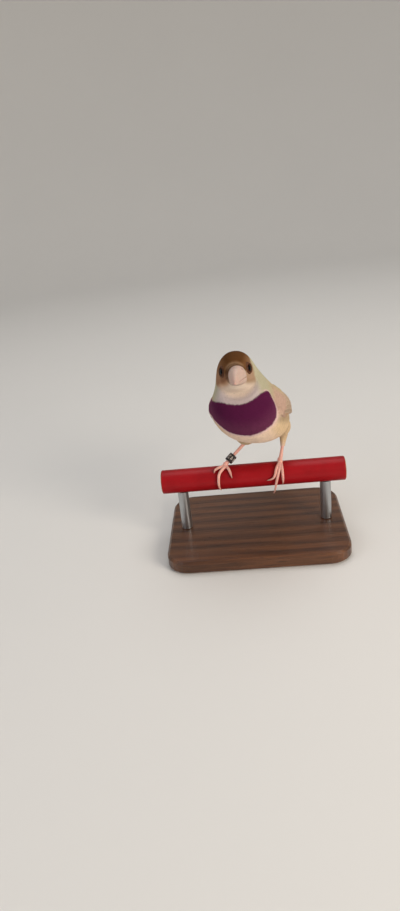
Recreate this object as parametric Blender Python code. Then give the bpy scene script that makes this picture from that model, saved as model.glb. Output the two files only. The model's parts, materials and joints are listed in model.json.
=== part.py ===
"""A life-size Gouldian finch, cock, standing on a cut length of round perch that a low display stand holds.

Sizes are in millimetres and are scaled to metres when a mesh is made. The origin is the middle of the underside
of the stand's base, below the middle of the perch. The perch runs along X and the bird looks towards -Y.

The bird is modelled in its own frame first: F runs forward along its midline, S to its left and Z up from the
perch's axis. Head, neck and torso are one skin: stations along the bird give a point on the back, a point on
the belly and a half width, and a rounded section joins them.
"""

import math

import bmesh
import bpy
import numpy as np

MM = 0.001
GAP = 0.3

# Perch and stand.
PERCH_RADIUS = 5.5
PERCH_LENGTH = 84.0
PERCH_HEIGHT = 31.0
PERCH_SIDES = 36
END_BEVEL = 0.6
ROD_RADIUS = 2.5
ROD_SPREAD = 33.0
ROD_SIDES = 20
BASE_WIDTH = 82.0
BASE_DEPTH = 62.0
BASE_THICKNESS = 6.0
BASE_CORNER = 10.0
BASE_BEVEL = 1.0

# The bird's stance over the perch, in degrees and millimetres.
BODY_YAW = 13.5
BODY_X = 2.0
HEAD_YAW = -13.0
HEAD_ROLL = -3.0
HEAD_SHIFT = -1.5
# The point that the head turns and rolls about, forward and up.
HEAD_PIVOT, PIVOT_HEIGHT = 16.0, 56.8
TAIL_PITCH = 22.0
TAIL_YAW = -4.0

# Each station: back (F, Z), belly (F, Z), half width, and how far down the section is widest.
STATIONS = (
    ((26.9, 61.2), (26.2, 52.4), 3.9, 0.54),
    ((25.6, 62.2), (25.0, 50.4), 5.0, 0.57),
    ((22.9, 63.4), (23.0, 48.8), 6.3, 0.60),
    ((18.6, 63.8), (21.9, 47.6), 7.4, 0.61),
    ((14.2, 62.6), (22.9, 46.4), 8.2, 0.60),
    ((10.9, 59.7), (24.6, 45.0), 8.9, 0.58),
    ((8.0, 56.0), (26.0, 42.4), 10.0, 0.55),
    ((5.0, 51.9), (26.9, 38.8), 11.8, 0.53),
    ((1.6, 48.2), (26.7, 34.2), 14.0, 0.52),
    ((-2.4, 45.3), (24.2, 29.6), 15.6, 0.52),
    ((-6.8, 42.7), (19.3, 25.2), 16.0, 0.52),
    ((-11.6, 40.2), (13.0, 21.7), 15.8, 0.52),
    ((-17.0, 37.3), (5.6, 19.1), 15.2, 0.53),
    ((-22.5, 34.4), (-2.4, 17.6), 14.0, 0.53),
    ((-28.0, 31.4), (-11.2, 17.3), 12.2, 0.52),
    ((-33.0, 28.7), (-20.0, 18.3), 9.8, 0.50),
    ((-37.5, 26.3), (-28.5, 18.7), 7.3, 0.48),
    ((-42.0, 23.9), (-36.5, 18.3), 5.2, 0.47),
    ((-48.0, 21.4), (-45.0, 17.2), 4.6, 0.47),
    ((-55.0, 18.6), (-53.0, 15.2), 4.3, 0.47),
)
# The belly hangs a little towards the left leg: how far at the bottom, and where it grows and fades.
BELLY_LEAN = 2.8
LEAN_GROWS, LEAN_FADES = (5.5, 9.5), (12.5, 16.0)
SECTION_POWER = 0.93
NECK_BEND_START, NECK_BEND_END = 3.9, 8.0
HEAD_CUT, NECK_CUT, TORSO_END = 4.35, 6.6, 16.6
HEAD_SIDES, TORSO_SIDES = 28, 30

# Bill, in the head's own frame: millimetres from its base along the bill's axis.
BILL_LENGTH = 10.4
LOWER_BILL_SHARE = 0.93
BILL_DROOP = 0.5
BILL_HALF_WIDTH = 3.6
CULMEN_HEIGHT = 4.85
GONYS_DEPTH = 2.9
MOUTH_BELOW_TOP = 5.1
MOUTH_CORNER_DROP = 0.9
BILL_BASE_GAP = GAP + 0.05
BILL_SIDES = 16
BILL_RINGS = 9
NOSTRIL_RADIUS = 0.42
# The nostril's centre in the head's frame: forward, to the side, up.
BILL_NOSTRIL = (28.3, 2.35, 59.2)

# Eyes: where each sits on the head's skin, its radius, how deep its centre lies, and its lids.
EYE_STATION, EYE_ANGLE = 1.65, 70.0
EYE_RADIUS, EYE_DEPTH = 2.35, 1.9
EYE_CLEARANCE = 0.2
LID_RADIUS, LID_THICKNESS, LID_PLANE = 1.95, 0.36, 1.9

# Legs: the two feet and heels in space, in millimetres from the perch's axis.
FEET = {"right": (-11.9, -1.0, 6.95), "left": (12.9, -1.9, 6.75)}
HEELS = {"right": (-1.2, 5.0, 15.4), "left": (16.2, 6.6, 17.6)}
KNEES = {"right": (-1.5, -2.5, 23.5), "left": (12.3, -1.5, 25.4)}
SHANK_RADIUS = 0.72
HEEL_RADIUS = 1.05
FOOT_RADIUS = 1.2
THIGH_RADIUS = 5.4
TOE_RADIUS = 0.68
CLAW_RADIUS, CLAW_TIP = 0.44, 0.14
CLAW_ARCH = 0.22
# Shares of the way up shank and thigh, and the radii and the shares of the thigh's radius there.
SHANK_PLACES, SHANK_RADII = (0.0, 0.12, 0.3, 0.8, 1.0), (0.95, 0.86, SHANK_RADIUS, 0.8, HEEL_RADIUS)
THIGH_PLACES, THIGH_SHARES = (0.0, 0.15, 0.4, 0.7, 1.0), (0.25, 0.5, 0.86, 1.0, 0.95)
HEEL_SWELL = 1.12
# The ring on the right leg, and how far up from foot to heel its middle is.
RING_OUTER, RING_INNER, RING_HEIGHT, RING_PLACE = 1.85, 1.3, 3.8, 0.255

# Toes: length along the perch at root, middle, end of the toe and claw tip, and the same in degrees over it.
TOES = {
    "right": (
        ("outer", (-0.3, -2.6, -4.6, -5.4), (10, 18, 28, 42)),
        ("middle", (-0.1, -3.0, -3.6, -2.7), (16, 50, 96, 134)),
        ("inner", (0.4, 1.3, 2.0, 2.6), (16, 30, 48, 70)),
        ("hind", (0.1, 0.4, 0.6, 0.4), (0, -40, -84, -132)),
    ),
    "left": (
        ("outer", (0.3, 0.5, 0.6, 0.4), (20, 48, 90, 122)),
        ("middle", (0.0, -1.0, -2.6, -4.1), (22, 56, 106, 152)),
        ("inner", (-0.4, -1.9, -3.4, -6.6), (20, 44, 80, 94)),
        ("hind", (0.1, -0.3, -0.6, -0.5), (4, -40, -86, -134)),
    ),
}
# How far the claw's tip stands off the perch.
CLAW_LIFT = {("left", "middle"): 3.0}

# The folded wing, wrist to tip: station and degrees of its back edge, then of its lower edge.
WING_EDGES = (
    (8.5, 62.0, 8.7, 82.0),
    (8.9, 44.0, 9.2, 92.0),
    (9.7, 33.0, 10.1, 97.0),
    (10.7, 25.0, 11.1, 99.0),
    (11.9, 18.0, 12.2, 98.0),
    (13.2, 14.0, 13.5, 94.0),
    (14.5, 12.0, 14.8, 89.0),
    (15.8, 13.0, 15.9, 81.0),
    (16.8, 17.0, 16.9, 73.0),
    (17.6, 26.0, 17.6, 64.0),
    (18.2, 38.0, 18.2, 56.0),
)
# The pad under the wing's feathers: its height over the skin, its thickness, and where it ends.
WING_CLEARANCE, WING_PAD, PAD_END = 0.35, 0.72, 0.8
VANE_THICKNESS, VANE_CAMBER, VANE_TILT, VANE_ROUND = 0.5, 24.0, 0.08, 0.06
TIER_STEP = 0.16
# Tiers of the wing, lowest first: how many vanes, the roots and the tips of the first and last (u, v), half
# width, heights over the skin at root and tip, and rows.
WING_TIERS = (
    (6, ((0.36, 0.50), (0.42, 0.86)), ((0.80, 0.34), (1.0, 0.60)), 1.9, (1.18, 1.12), 6),
    (5, ((0.26, 0.36), (0.30, 0.84)), ((0.68, 0.34), (0.60, 0.86)), 2.3, (1.24, 1.30), 5),
    (3, ((0.24, 0.16), (0.26, 0.38)), ((0.71, 0.17), (0.58, 0.30)), 2.8, (1.28, 1.42), 5),
    (6, ((0.14, 0.20), (0.20, 0.86)), ((0.46, 0.15), (0.42, 0.88)), 2.2, (1.22, 1.50), 4),
    (5, ((0.03, 0.30), (0.06, 0.82)), ((0.29, 0.18), (0.27, 0.86)), 2.2, (1.14, 1.62), 4),
)

# Tail: root on the midline (F, Z), and the stations of the flesh that its feathers grow from.
TAIL_ROOT = (-42.0, 21.3)
TAIL_STATION, TAIL_BASE_END, TAIL_INSET = 19.0, 18.6, 0.1
# Tail feathers in pairs, outermost first: distance of the root from the midline, angle to it in degrees, length,
# half width, height, droop at the tip, rows, and how blunt the tip is. The last two pairs are the coverts.
TAIL_TIERS = (
    (1.9, 5.5, 27.0, 1.9, -0.85, -0.3, 4, 0.3),
    (1.6, 4.6, 30.0, 2.0, -0.67, -0.3, 4, 0.3),
    (1.3, 3.6, 33.0, 2.0, -0.49, -0.3, 4, 0.3),
    (1.1, 2.6, 36.0, 2.0, -0.31, -0.3, 4, 0.3),
    (0.9, 1.6, 39.0, 2.0, -0.13, -0.3, 4, 0.3),
    (0.8, -0.2, 53.0, 1.5, 0.10, -0.5, 6, 0.12),
    (0.7, 2.0, 15.0, 1.5, 0.50, -0.5, 4, 0.3),
    (0.8, 2.5, 15.0, 1.9, -1.9, 0.6, 4, 0.3),
)

COLOURS = {
    "mask": ((0.16, 0.10, 0.05), 0.75, 0.0),
    "collar": ((0.52, 0.42, 0.40), 0.75, 0.0),
    "plumage": ((0.66, 0.52, 0.34), 0.8, 0.0),
    "wing": ((0.56, 0.46, 0.30), 0.7, 0.0),
    "tail": ((0.50, 0.42, 0.30), 0.7, 0.0),
    "bill": ((0.70, 0.50, 0.40), 0.4, 0.0),
    "eye": ((0.02, 0.012, 0.01), 0.08, 0.0),
    "leg": ((0.78, 0.42, 0.36), 0.55, 0.0),
    "ring": ((0.03, 0.02, 0.02), 0.35, 0.4),
    "perch": ((0.36, 0.01, 0.015), 0.35, 0.0),
    "stand": ((0.10, 0.08, 0.07), 0.45, 0.0),
    "rod": ((0.6, 0.6, 0.6), 0.3, 1.0),
}


def material(slot):
    """The Principled material of one slot, made the first time that it is asked for."""
    found = bpy.data.materials.get(slot)
    if found:
        return found
    colour, roughness, metallic = COLOURS[slot]
    made = bpy.data.materials.new(slot)
    made.use_nodes = True
    shader = made.node_tree.nodes["Principled BSDF"]
    shader.inputs["Base Color"].default_value = (*colour, 1.0)
    shader.inputs["Roughness"].default_value = roughness
    shader.inputs["Metallic"].default_value = metallic
    return made


def clear_scene():
    for obj in list(bpy.data.objects):
        bpy.data.objects.remove(obj, do_unlink=True)


def add_object(name, points, faces, slot=None):
    """A mesh object from points in millimetres above the perch's axis, placed at the perch's height."""
    placed = (np.asarray(points, float) + (0.0, 0.0, PERCH_HEIGHT)) * MM
    mesh = bpy.data.meshes.new(name)
    mesh.from_pydata(placed.tolist(), [], [list(map(int, face)) for face in faces])
    mesh.update()
    if slot:
        mesh.materials.append(material(slot))
    obj = bpy.data.objects.new(name, mesh)
    bpy.context.scene.collection.objects.link(obj)
    return obj


def tube_faces(rings, sides):
    """Triangles of a closed skin of rings, whose two end centres are the last two points."""
    faces = []
    for ring in range(rings - 1):
        for side in range(sides):
            a, b = ring * sides + side, ring * sides + (side + 1) % sides
            c, d = a + sides, b + sides
            faces += [(a, b, d), (a, d, c)] if (ring + side) % 2 else [(a, b, c), (b, d, c)]
    first, last = rings * sides, rings * sides + 1
    for side in range(sides):
        after = (side + 1) % sides
        faces.append((first, after, side))
        faces.append((last, (rings - 1) * sides + side, (rings - 1) * sides + after))
    return faces


def face_out(obj):
    """Turns the faces outwards, so that the solid's volume is positive."""
    work = bmesh.new()
    work.from_mesh(obj.data)
    bmesh.ops.recalc_face_normals(work, faces=work.faces[:])
    if work.calc_volume(signed=True) < 0:
        bmesh.ops.reverse_faces(work, faces=work.faces[:])
    work.to_mesh(obj.data)
    work.free()
    return obj


def skin(name, rings, slot=None):
    """A closed skin over rings of points, given as an array of rings by sides by 3, with flat ends."""
    rings = np.asarray(rings, float)
    count, sides = rings.shape[:2]
    ends = [rings[0].mean(axis=0), rings[-1].mean(axis=0)]
    points = np.vstack([rings.reshape(-1, 3), ends])
    return face_out(add_object(name, points, tube_faces(count, sides), slot))


def unit(vector):
    vector = np.asarray(vector, float)
    return vector / np.linalg.norm(vector, axis=-1, keepdims=True)


def smoothstep(low, high, value):
    share = np.clip((np.asarray(value, float) - low) / (high - low), 0.0, 1.0)
    return share * share * (3.0 - 2.0 * share)


def curve_through(values, place):
    """A smooth curve through evenly numbered values, read at the given places (Catmull-Rom)."""
    values = np.asarray(values, float)
    values = values.reshape(len(values), -1)
    place = np.clip(np.asarray(place, float), 0.0, len(values) - 1.0)
    index = np.minimum(place.astype(int), len(values) - 2)
    t = (place - index)[..., None]
    padded = np.vstack([2 * values[0] - values[1], values, 2 * values[-1] - values[-2]])
    p0, p1, p2, p3 = (padded[index + k] for k in range(4))
    square = 2 * p0 - 5 * p1 + 4 * p2 - p3
    cubic = 3 * p1 - p0 - 3 * p2 + p3
    return 0.5 * (2 * p1 + (p2 - p0) * t + square * t**2 + cubic * t**3)


STATION_ROWS = [(*back, *belly, half, widest) for back, belly, half, widest in STATIONS]


def to_space(forward, side, up, station):
    """The bird's frame to space. Ahead of the neck, the head turns, rolls and shifts about its pivot."""
    share = 1.0 - smoothstep(NECK_BEND_START, NECK_BEND_END, station)
    turn, roll = np.radians(HEAD_YAW) * share, np.radians(HEAD_ROLL) * share
    rolled_side = side * np.cos(roll) + (up - PIVOT_HEIGHT) * np.sin(roll)
    rolled_up = PIVOT_HEIGHT - side * np.sin(roll) + (up - PIVOT_HEIGHT) * np.cos(roll)
    ahead = forward - HEAD_PIVOT
    turned_forward = HEAD_PIVOT + ahead * np.cos(turn) + rolled_side * np.sin(turn)
    turned_side = rolled_side * np.cos(turn) - ahead * np.sin(turn) + HEAD_SHIFT * share
    yaw = math.radians(BODY_YAW)
    x = BODY_X - turned_forward * math.sin(yaw) + turned_side * math.cos(yaw)
    y = -turned_forward * math.cos(yaw) - turned_side * math.sin(yaw)
    return np.stack(np.broadcast_arrays(x, y, rolled_up), axis=-1)


def body_point(station, angle):
    """A point of the skin: angle is 0 on the back, 90 degrees on the left side and 180 on the belly."""
    station, angle = np.broadcast_arrays(np.asarray(station, float), np.asarray(angle, float))
    back_f, back_z, belly_f, belly_z, half, widest = np.moveaxis(curve_through(STATION_ROWS, station), -1, 0)
    across, down = np.sin(angle), np.cos(angle)
    side = np.sign(across) * np.abs(across) ** SECTION_POWER * half
    reach = np.sign(down) * np.abs(down) ** SECTION_POWER
    depth = widest - np.where(reach > 0, reach * widest, reach * (1.0 - widest))
    lean = BELLY_LEAN * smoothstep(*LEAN_GROWS, station) * (1.0 - smoothstep(*LEAN_FADES, station))
    side = side + lean * smoothstep(0.4, 1.0, depth)
    forward = back_f + (belly_f - back_f) * depth
    up = back_z + (belly_z - back_z) * depth
    return to_space(forward, side, up, station)


def body_normal(station, angle):
    """The skin's outward direction, from its two tangents."""
    step = 0.02
    along = body_point(station + step, angle) - body_point(station - step, angle)
    around = body_point(station, angle + step) - body_point(station, angle - step)
    return unit(np.cross(around, along))


def over_body(station, angle, height):
    """A point at a height over the skin."""
    return body_point(station, angle) + body_normal(station, angle) * np.asarray(height)[..., None]


def section_ring(station, sides, inflate=0.0):
    angle = np.arange(sides) * 2 * math.pi / sides
    if inflate:
        return over_body(np.full(sides, station), angle, np.full(sides, inflate))
    return body_point(np.full(sides, station), angle)


def body_length(name, start, end, spacing, sides, slot, cut_start=True, cut_end=True, inflate=0.0):
    """A length of the body between two stations. A cut end stands back by half the gap."""
    count = max(3, int(round((end - start) / spacing)) + 1)
    rings = np.stack([section_ring(s, sides, inflate) for s in np.linspace(start, end, count)])
    for index, cut in ((0, cut_start), (-1, cut_end)):
        if cut:
            inside = rings[1] if index == 0 else rings[-2]
            quarter = rings[index][sides // 4] - rings[index][0]
            across = rings[index][sides // 2] - rings[index][0]
            normal = unit(np.cross(quarter, across))
            if normal @ (inside.mean(axis=0) - rings[index].mean(axis=0)) < 0:
                normal = -normal
            rings[index] = rings[index] + normal * GAP / 2
    return skin(name, rings, slot)


def head_point(forward, side, up):
    """A place in the head's own frame, in space."""
    return to_space(np.asarray(forward, float), np.asarray(side, float), np.asarray(up, float), 0.0)


def frame_along(direction, hint=(0.0, 0.0, 1.0)):
    """Two directions square to the given one."""
    direction = unit(direction)
    first = np.cross(np.asarray(hint, float), direction)
    if np.linalg.norm(first) < 1e-6:
        first = np.cross((1.0, 0.0, 0.0), direction)
    first = unit(first)
    return first, np.cross(direction, first)


def tube(name, path, radii, sides, slot=None, round_ends=True):
    """A round tube along a path of points, with a radius at each, and domed ends."""
    path, radii = np.asarray(path, float), np.asarray(radii, float)
    tangent = unit(np.gradient(path, axis=0))
    if round_ends:
        first = path[0] - tangent[0] * radii[0] * 0.6
        last = path[-1] + tangent[-1] * radii[-1] * 0.6
        path = np.vstack([first, path, last])
        tangent = np.vstack([tangent[:1], tangent, tangent[-1:]])
        radii = np.concatenate([[radii[0] * 0.55], radii, [radii[-1] * 0.55]])
    angle = np.arange(sides) * 2 * math.pi / sides
    side, up = frame_along(tangent[0])
    rings = []
    for point, direction, radius in zip(path, tangent, radii):
        side = unit(side - direction * (side @ direction))
        up = np.cross(direction, side)
        rings.append(point + radius * (np.cos(angle)[:, None] * side + np.sin(angle)[:, None] * up))
    return skin(name, rings, slot)


def ball(name, centre, radius, sides=16, rings=10, slot=None, axis=(0.0, 0.0, 1.0), squash=1.0):
    """A ball of rings about an axis, flattened along it by squash."""
    latitude = (np.arange(rings) + 0.5) / rings * math.pi
    axis = unit(axis)
    side, up = frame_along(axis, hint=(0.3, 0.2, 1.0))
    angle = np.arange(sides) * 2 * math.pi / sides
    around = np.cos(angle)[:, None] * side + np.sin(angle)[:, None] * up
    middle = np.asarray(centre)
    layers = [middle + radius * (math.sin(lat) * around + math.cos(lat) * squash * axis) for lat in latitude]
    return skin(name, layers, slot)


def ring_solid(name, centre, axis, outer, inner, height, sides, slot=None):
    """A short tube with a hole, closed over its two ends."""
    axis = unit(axis)
    side, up = frame_along(axis)
    angle = np.arange(sides) * 2 * math.pi / sides
    around = np.cos(angle)[:, None] * side + np.sin(angle)[:, None] * up
    profile = [(inner, -0.5), (outer, -0.5), (outer, 0.5), (inner, 0.5)]
    rings = [np.asarray(centre) + radius * around + axis * (share * height) for radius, share in profile]
    points, faces = np.vstack(rings), []
    for layer in range(4):
        for s in range(sides):
            a, b = layer * sides + s, layer * sides + (s + 1) % sides
            c, d = ((layer + 1) % 4) * sides + s, ((layer + 1) % 4) * sides + (s + 1) % sides
            faces += [(a, b, d), (a, d, c)]
    return face_out(add_object(name, points, faces, slot))


def torus(name, centre, axis, radius, thickness, sides=20, tube_sides=6):
    axis = unit(axis)
    side, up = frame_along(axis)
    angle = np.arange(sides) * 2 * math.pi / sides
    around = np.cos(angle)[:, None] * side + np.sin(angle)[:, None] * up
    points, faces = [], []
    for layer in range(tube_sides):
        turn = layer * 2 * math.pi / tube_sides
        reach = radius + thickness * math.cos(turn)
        points.append(np.asarray(centre) + around * reach + axis * thickness * math.sin(turn))
    for layer in range(tube_sides):
        for s in range(sides):
            a, b = layer * sides + s, layer * sides + (s + 1) % sides
            c = ((layer + 1) % tube_sides) * sides + s
            d = ((layer + 1) % tube_sides) * sides + (s + 1) % sides
            faces += [(a, b, d), (a, d, c)]
    return face_out(add_object(name, np.vstack(points), faces))


def largest_only(obj):
    """Keeps the node's largest closed surface and drops loose scraps and sealed hollows."""
    work = bmesh.new()
    work.from_mesh(obj.data)
    bmesh.ops.remove_doubles(work, verts=work.verts[:], dist=1e-7)
    left, islands = set(work.faces), []
    while left:
        stack, island = [left.pop()], set()
        while stack:
            face = stack.pop()
            island.add(face)
            for edge in face.edges:
                for other in edge.link_faces:
                    if other in left:
                        left.discard(other)
                        stack.append(other)
        islands.append(island)

    def size(island):
        return sum(face.calc_area() for face in island)

    keep = max(islands, key=size)
    loose = [face for face in work.faces if face not in keep]
    if loose:
        bmesh.ops.delete(work, geom=loose, context="FACES")
    work.to_mesh(obj.data)
    work.free()
    return obj


def boolean(obj, others, operation, solver="MANIFOLD"):
    """Applies one Boolean of obj with a collection of the others, which are then removed."""
    group = bpy.data.collections.new("pieces")
    for other in others:
        group.objects.link(other)
    modifier = obj.modifiers.new("join", "BOOLEAN")
    modifier.operation = operation
    modifier.operand_type = "COLLECTION"
    modifier.collection = group
    modifier.solver = solver
    graph = bpy.context.evaluated_depsgraph_get()
    graph.update()
    mesh = bpy.data.meshes.new_from_object(obj.evaluated_get(graph))
    obj.modifiers.clear()
    old = obj.data
    obj.data = mesh
    bpy.data.meshes.remove(old)
    for other in list(group.objects):
        bpy.data.objects.remove(other, do_unlink=True)
    bpy.data.collections.remove(group)
    return largest_only(obj)


def shade(obj):
    obj.data.shade_smooth()
    obj.data.set_sharp_from_angle(angle=math.radians(40))
    return obj


def slab(name, top, below):
    """A closed sheet between two grids of points, split into triangles alike on both faces."""
    top, below = np.asarray(top, float), np.asarray(below, float)
    count, wide = top.shape[:2]
    points = np.vstack([top.reshape(-1, 3), below.reshape(-1, 3)])
    under, faces = count * wide, []
    for i in range(count - 1):
        for j in range(wide - 1):
            a, b, c, d = i * wide + j, i * wide + j + 1, (i + 1) * wide + j, (i + 1) * wide + j + 1
            split = [(a, b, d), (a, d, c)] if j % 2 else [(a, b, c), (b, d, c)]
            faces += split + [tuple(under + k for k in reversed(tri)) for tri in split]
    rim = list(range(wide))
    rim += [i * wide + wide - 1 for i in range(1, count)]
    rim += [(count - 1) * wide + j for j in range(wide - 2, -1, -1)]
    rim += [i * wide for i in range(count - 2, 0, -1)]
    for k, a in enumerate(rim):
        b = rim[(k + 1) % len(rim)]
        faces += [(a, under + a, under + b), (a, under + b, b)]
    return face_out(add_object(name, points, faces))


def finish(obj, name, slot):
    """Names a node, gives it its material and its shading."""
    obj.name = obj.data.name = name
    obj.data.materials.clear()
    obj.data.materials.append(material(slot))
    return shade(obj)


def make_perch():
    half = PERCH_LENGTH / 2
    profile = [
        (-half, PERCH_RADIUS - END_BEVEL),
        (-half + END_BEVEL, PERCH_RADIUS),
        (half - END_BEVEL, PERCH_RADIUS),
        (half, PERCH_RADIUS - END_BEVEL),
    ]
    angle = np.arange(PERCH_SIDES) * 2 * math.pi / PERCH_SIDES
    rings = [
        np.stack([np.full(PERCH_SIDES, x), radius * np.cos(angle), radius * np.sin(angle)], axis=-1)
        for x, radius in profile
    ]
    finish(skin("perch", rings), "perch", "perch")


def make_stand():
    corners = 7
    outline = []
    for corner, (sx, sy) in enumerate(((1, 1), (-1, 1), (-1, -1), (1, -1))):
        for step in range(corners):
            turn = math.radians(90 * corner + 90 * step / (corners - 1))
            outline.append((sx, sy, math.cos(turn), math.sin(turn)))
    outline = np.asarray(outline)
    layers = []
    heights = (0.0, BASE_BEVEL, BASE_THICKNESS - BASE_BEVEL, BASE_THICKNESS)
    for height, inset in zip(heights, (BASE_BEVEL, 0.0, 0.0, BASE_BEVEL)):
        radius = BASE_CORNER - inset
        x = outline[:, 0] * (BASE_WIDTH / 2 - BASE_CORNER) + radius * outline[:, 2]
        y = outline[:, 1] * (BASE_DEPTH / 2 - BASE_CORNER) + radius * outline[:, 3]
        layers.append(np.stack([x, y, np.full(len(x), height - PERCH_HEIGHT)], axis=-1))
    finish(skin("stand_base", layers), "stand_base", "stand")
    angle = np.arange(ROD_SIDES) * 2 * math.pi / ROD_SIDES
    saddle = PERCH_RADIUS + GAP
    for name, x in (("stand_rod_right", -ROD_SPREAD), ("stand_rod_left", ROD_SPREAD)):
        rings = []
        for share, top in ((1.0, False), (1.0, True), (0.5, True)):
            across = share * ROD_RADIUS * np.sin(angle)
            foot = np.full(ROD_SIDES, BASE_THICKNESS + GAP - PERCH_HEIGHT)
            z = -np.sqrt(saddle**2 - across**2) if top else foot
            rings.append(np.stack([x + share * ROD_RADIUS * np.cos(angle), across, z], axis=-1))
        finish(skin(name, rings), name, "rod")


def bill_rings(upper):
    """Rings of one half of the bill: a half oval over or under the mouth line, closed by a flat floor."""
    share = 1.0 - (1.0 - np.linspace(0.0, 1.0, BILL_RINGS)) ** 1.25
    droop = math.radians(BILL_DROOP)
    reach = BILL_LENGTH if upper else BILL_LENGTH * LOWER_BILL_SHARE
    base_z = STATIONS[0][0][1] - MOUTH_BELOW_TOP
    rings = []
    for t in share:
        wide = BILL_HALF_WIDTH * (1.0 - t**1.25) ** 0.85 + 0.16
        if upper:
            tall = CULMEN_HEIGHT * (1.0 - t**1.75) ** 0.95 + 0.25
        else:
            tall = GONYS_DEPTH * (1.0 - t**1.3) ** 0.9 + 0.16
        turn = np.linspace(0.0, math.pi, BILL_SIDES // 2 + 1)
        side = wide * np.cos(turn)
        arch = np.sin(turn) ** 0.86 * tall
        floor = np.linspace(-wide, wide, BILL_SIDES // 2 + 1)[1:-1]
        side = np.concatenate([side, floor])
        edge = GAP / 2
        up = np.concatenate([edge + arch, np.full(len(floor), edge)])
        if not upper:
            up = -up
        # The mouth's corner turns down a little at the base.
        up = up - MOUTH_CORNER_DROP * (1.0 - t) ** 3
        along = t * reach
        forward = base_start(base_z + up) * (1.0 - t) + (base_start(np.full_like(up, base_z))) * t
        forward = forward + along * math.cos(droop) + up * math.sin(droop) * t
        height = base_z + up - along * math.sin(droop)
        rings.append(head_point(forward, side, height))
    return rings


def base_start(height):
    """How far forward the bill's base plane lies at a height: the head's front face and the gap."""
    (top_f, top_z), (low_f, low_z) = STATIONS[0][0], STATIONS[0][1]
    share = (height - low_z) / (top_z - low_z)
    return low_f + (top_f - low_f) * share + BILL_BASE_GAP


def make_bill():
    upper = skin("bill_upper", bill_rings(True))
    pits = []
    for side in (-1, 1):
        centre = head_point(BILL_NOSTRIL[0], side * BILL_NOSTRIL[1], BILL_NOSTRIL[2])
        pits.append(ball("pit", centre, NOSTRIL_RADIUS, 9, 5))
    finish(boolean(upper, pits, "DIFFERENCE"), "bill_upper", "bill")
    finish(skin("bill_lower", bill_rings(False)), "bill_lower", "bill")


def eye_frame(side):
    """An eye's centre and the way that it looks."""
    angle = side * math.radians(EYE_ANGLE)
    look = body_normal(EYE_STATION, angle)
    return body_point(EYE_STATION, angle) - look * EYE_DEPTH, look


def make_head():
    lids, sockets = [], []
    for name, side in (("eye_right", -1), ("eye_left", 1)):
        centre, look = eye_frame(side)
        lids.append(torus("lid", centre + look * LID_PLANE, look, LID_RADIUS, LID_THICKNESS, 18, 6))
        sockets.append(ball("socket", centre, EYE_RADIUS + EYE_CLEARANCE, 18, 8, axis=look))
        finish(ball(name, centre, EYE_RADIUS, 18, 9, axis=look), name, "eye")
    head = body_length("head", 0.0, HEAD_CUT, 0.33, HEAD_SIDES, None, cut_start=False)
    head = boolean(head, lids, "UNION")
    finish(boolean(head, sockets, "DIFFERENCE"), "head", "mask")


def make_body():
    finish(body_length("neck", HEAD_CUT, NECK_CUT, 0.38, HEAD_SIDES, None), "neck", "collar")
    finish(body_length("torso", NECK_CUT, TORSO_END, 0.6, TORSO_SIDES, None), "torso", "plumage")


def wing_place(u, v, side):
    """Station and angle of a place on the wing: u from wrist to tip, v from back edge to lower edge."""
    edge = curve_through(WING_EDGES, np.asarray(u) * (len(WING_EDGES) - 1))
    station = edge[..., 0] + (edge[..., 2] - edge[..., 0]) * v
    angle = np.radians(edge[..., 1] + (edge[..., 3] - edge[..., 1]) * v)
    return station, side * angle


def feather(centre, across, out, half):
    """One vane along a path of centres: three points wide, cambered, and thinner towards its tip."""
    share = np.linspace(0.0, 1.0, len(centre))[:, None]
    half = np.asarray(half)[:, None]
    camber = half**2 / VANE_CAMBER
    low = out * camber
    top = np.stack([centre - across * half - low, centre, centre + across * half - low], axis=1)
    depth = (VANE_THICKNESS * (1.0 - 0.4 * share**3))[..., None]
    return slab("vane", top, top - out[:, None, :] * depth)


def vane_half(share, half, tip_start, point):
    """Half width along a vane: it swells from the root, keeps its width, and rounds off past tip_start."""
    swell = 0.6 + 0.4 * np.sin(np.clip(share / 0.5, 0.0, 1.0) * math.pi / 2)
    over = np.clip((share - tip_start) / (1.0 - tip_start), 0.0, 1.0)
    return half * swell * np.maximum((1.0 - over**2) ** 0.5, point)


def wing_vane(side, root, tip, half, heights, rows):
    """One feather of the folded wing, from place (u, v) to place, bent to the skin at its heights."""
    share = 1.0 - (1.0 - np.linspace(0.0, 1.0, rows)) ** 1.3
    u = root[0] + (tip[0] - root[0]) * share
    v = root[1] + (tip[1] - root[1]) * share
    step = 0.02
    across = body_point(*wing_place(u, v + step, side)) - body_point(*wing_place(u, v - step, side))
    reach = vane_half(share, half, 0.7, 0.3) * 2 * step / np.linalg.norm(across, axis=-1)
    height = heights[0] + (heights[1] - heights[0]) * share
    depth = VANE_THICKNESS * (1.0 - 0.4 * share**3)
    top, below = [], []
    for edge in (-1, 0, 1):
        station, angle = wing_place(u, v + edge * reach, side)
        lift = height + edge * VANE_TILT - abs(edge) * VANE_ROUND
        top.append(over_body(station, angle, lift))
        below.append(over_body(station, angle, lift - depth))
    return slab("vane", np.stack(top, axis=1), np.stack(below, axis=1))


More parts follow.
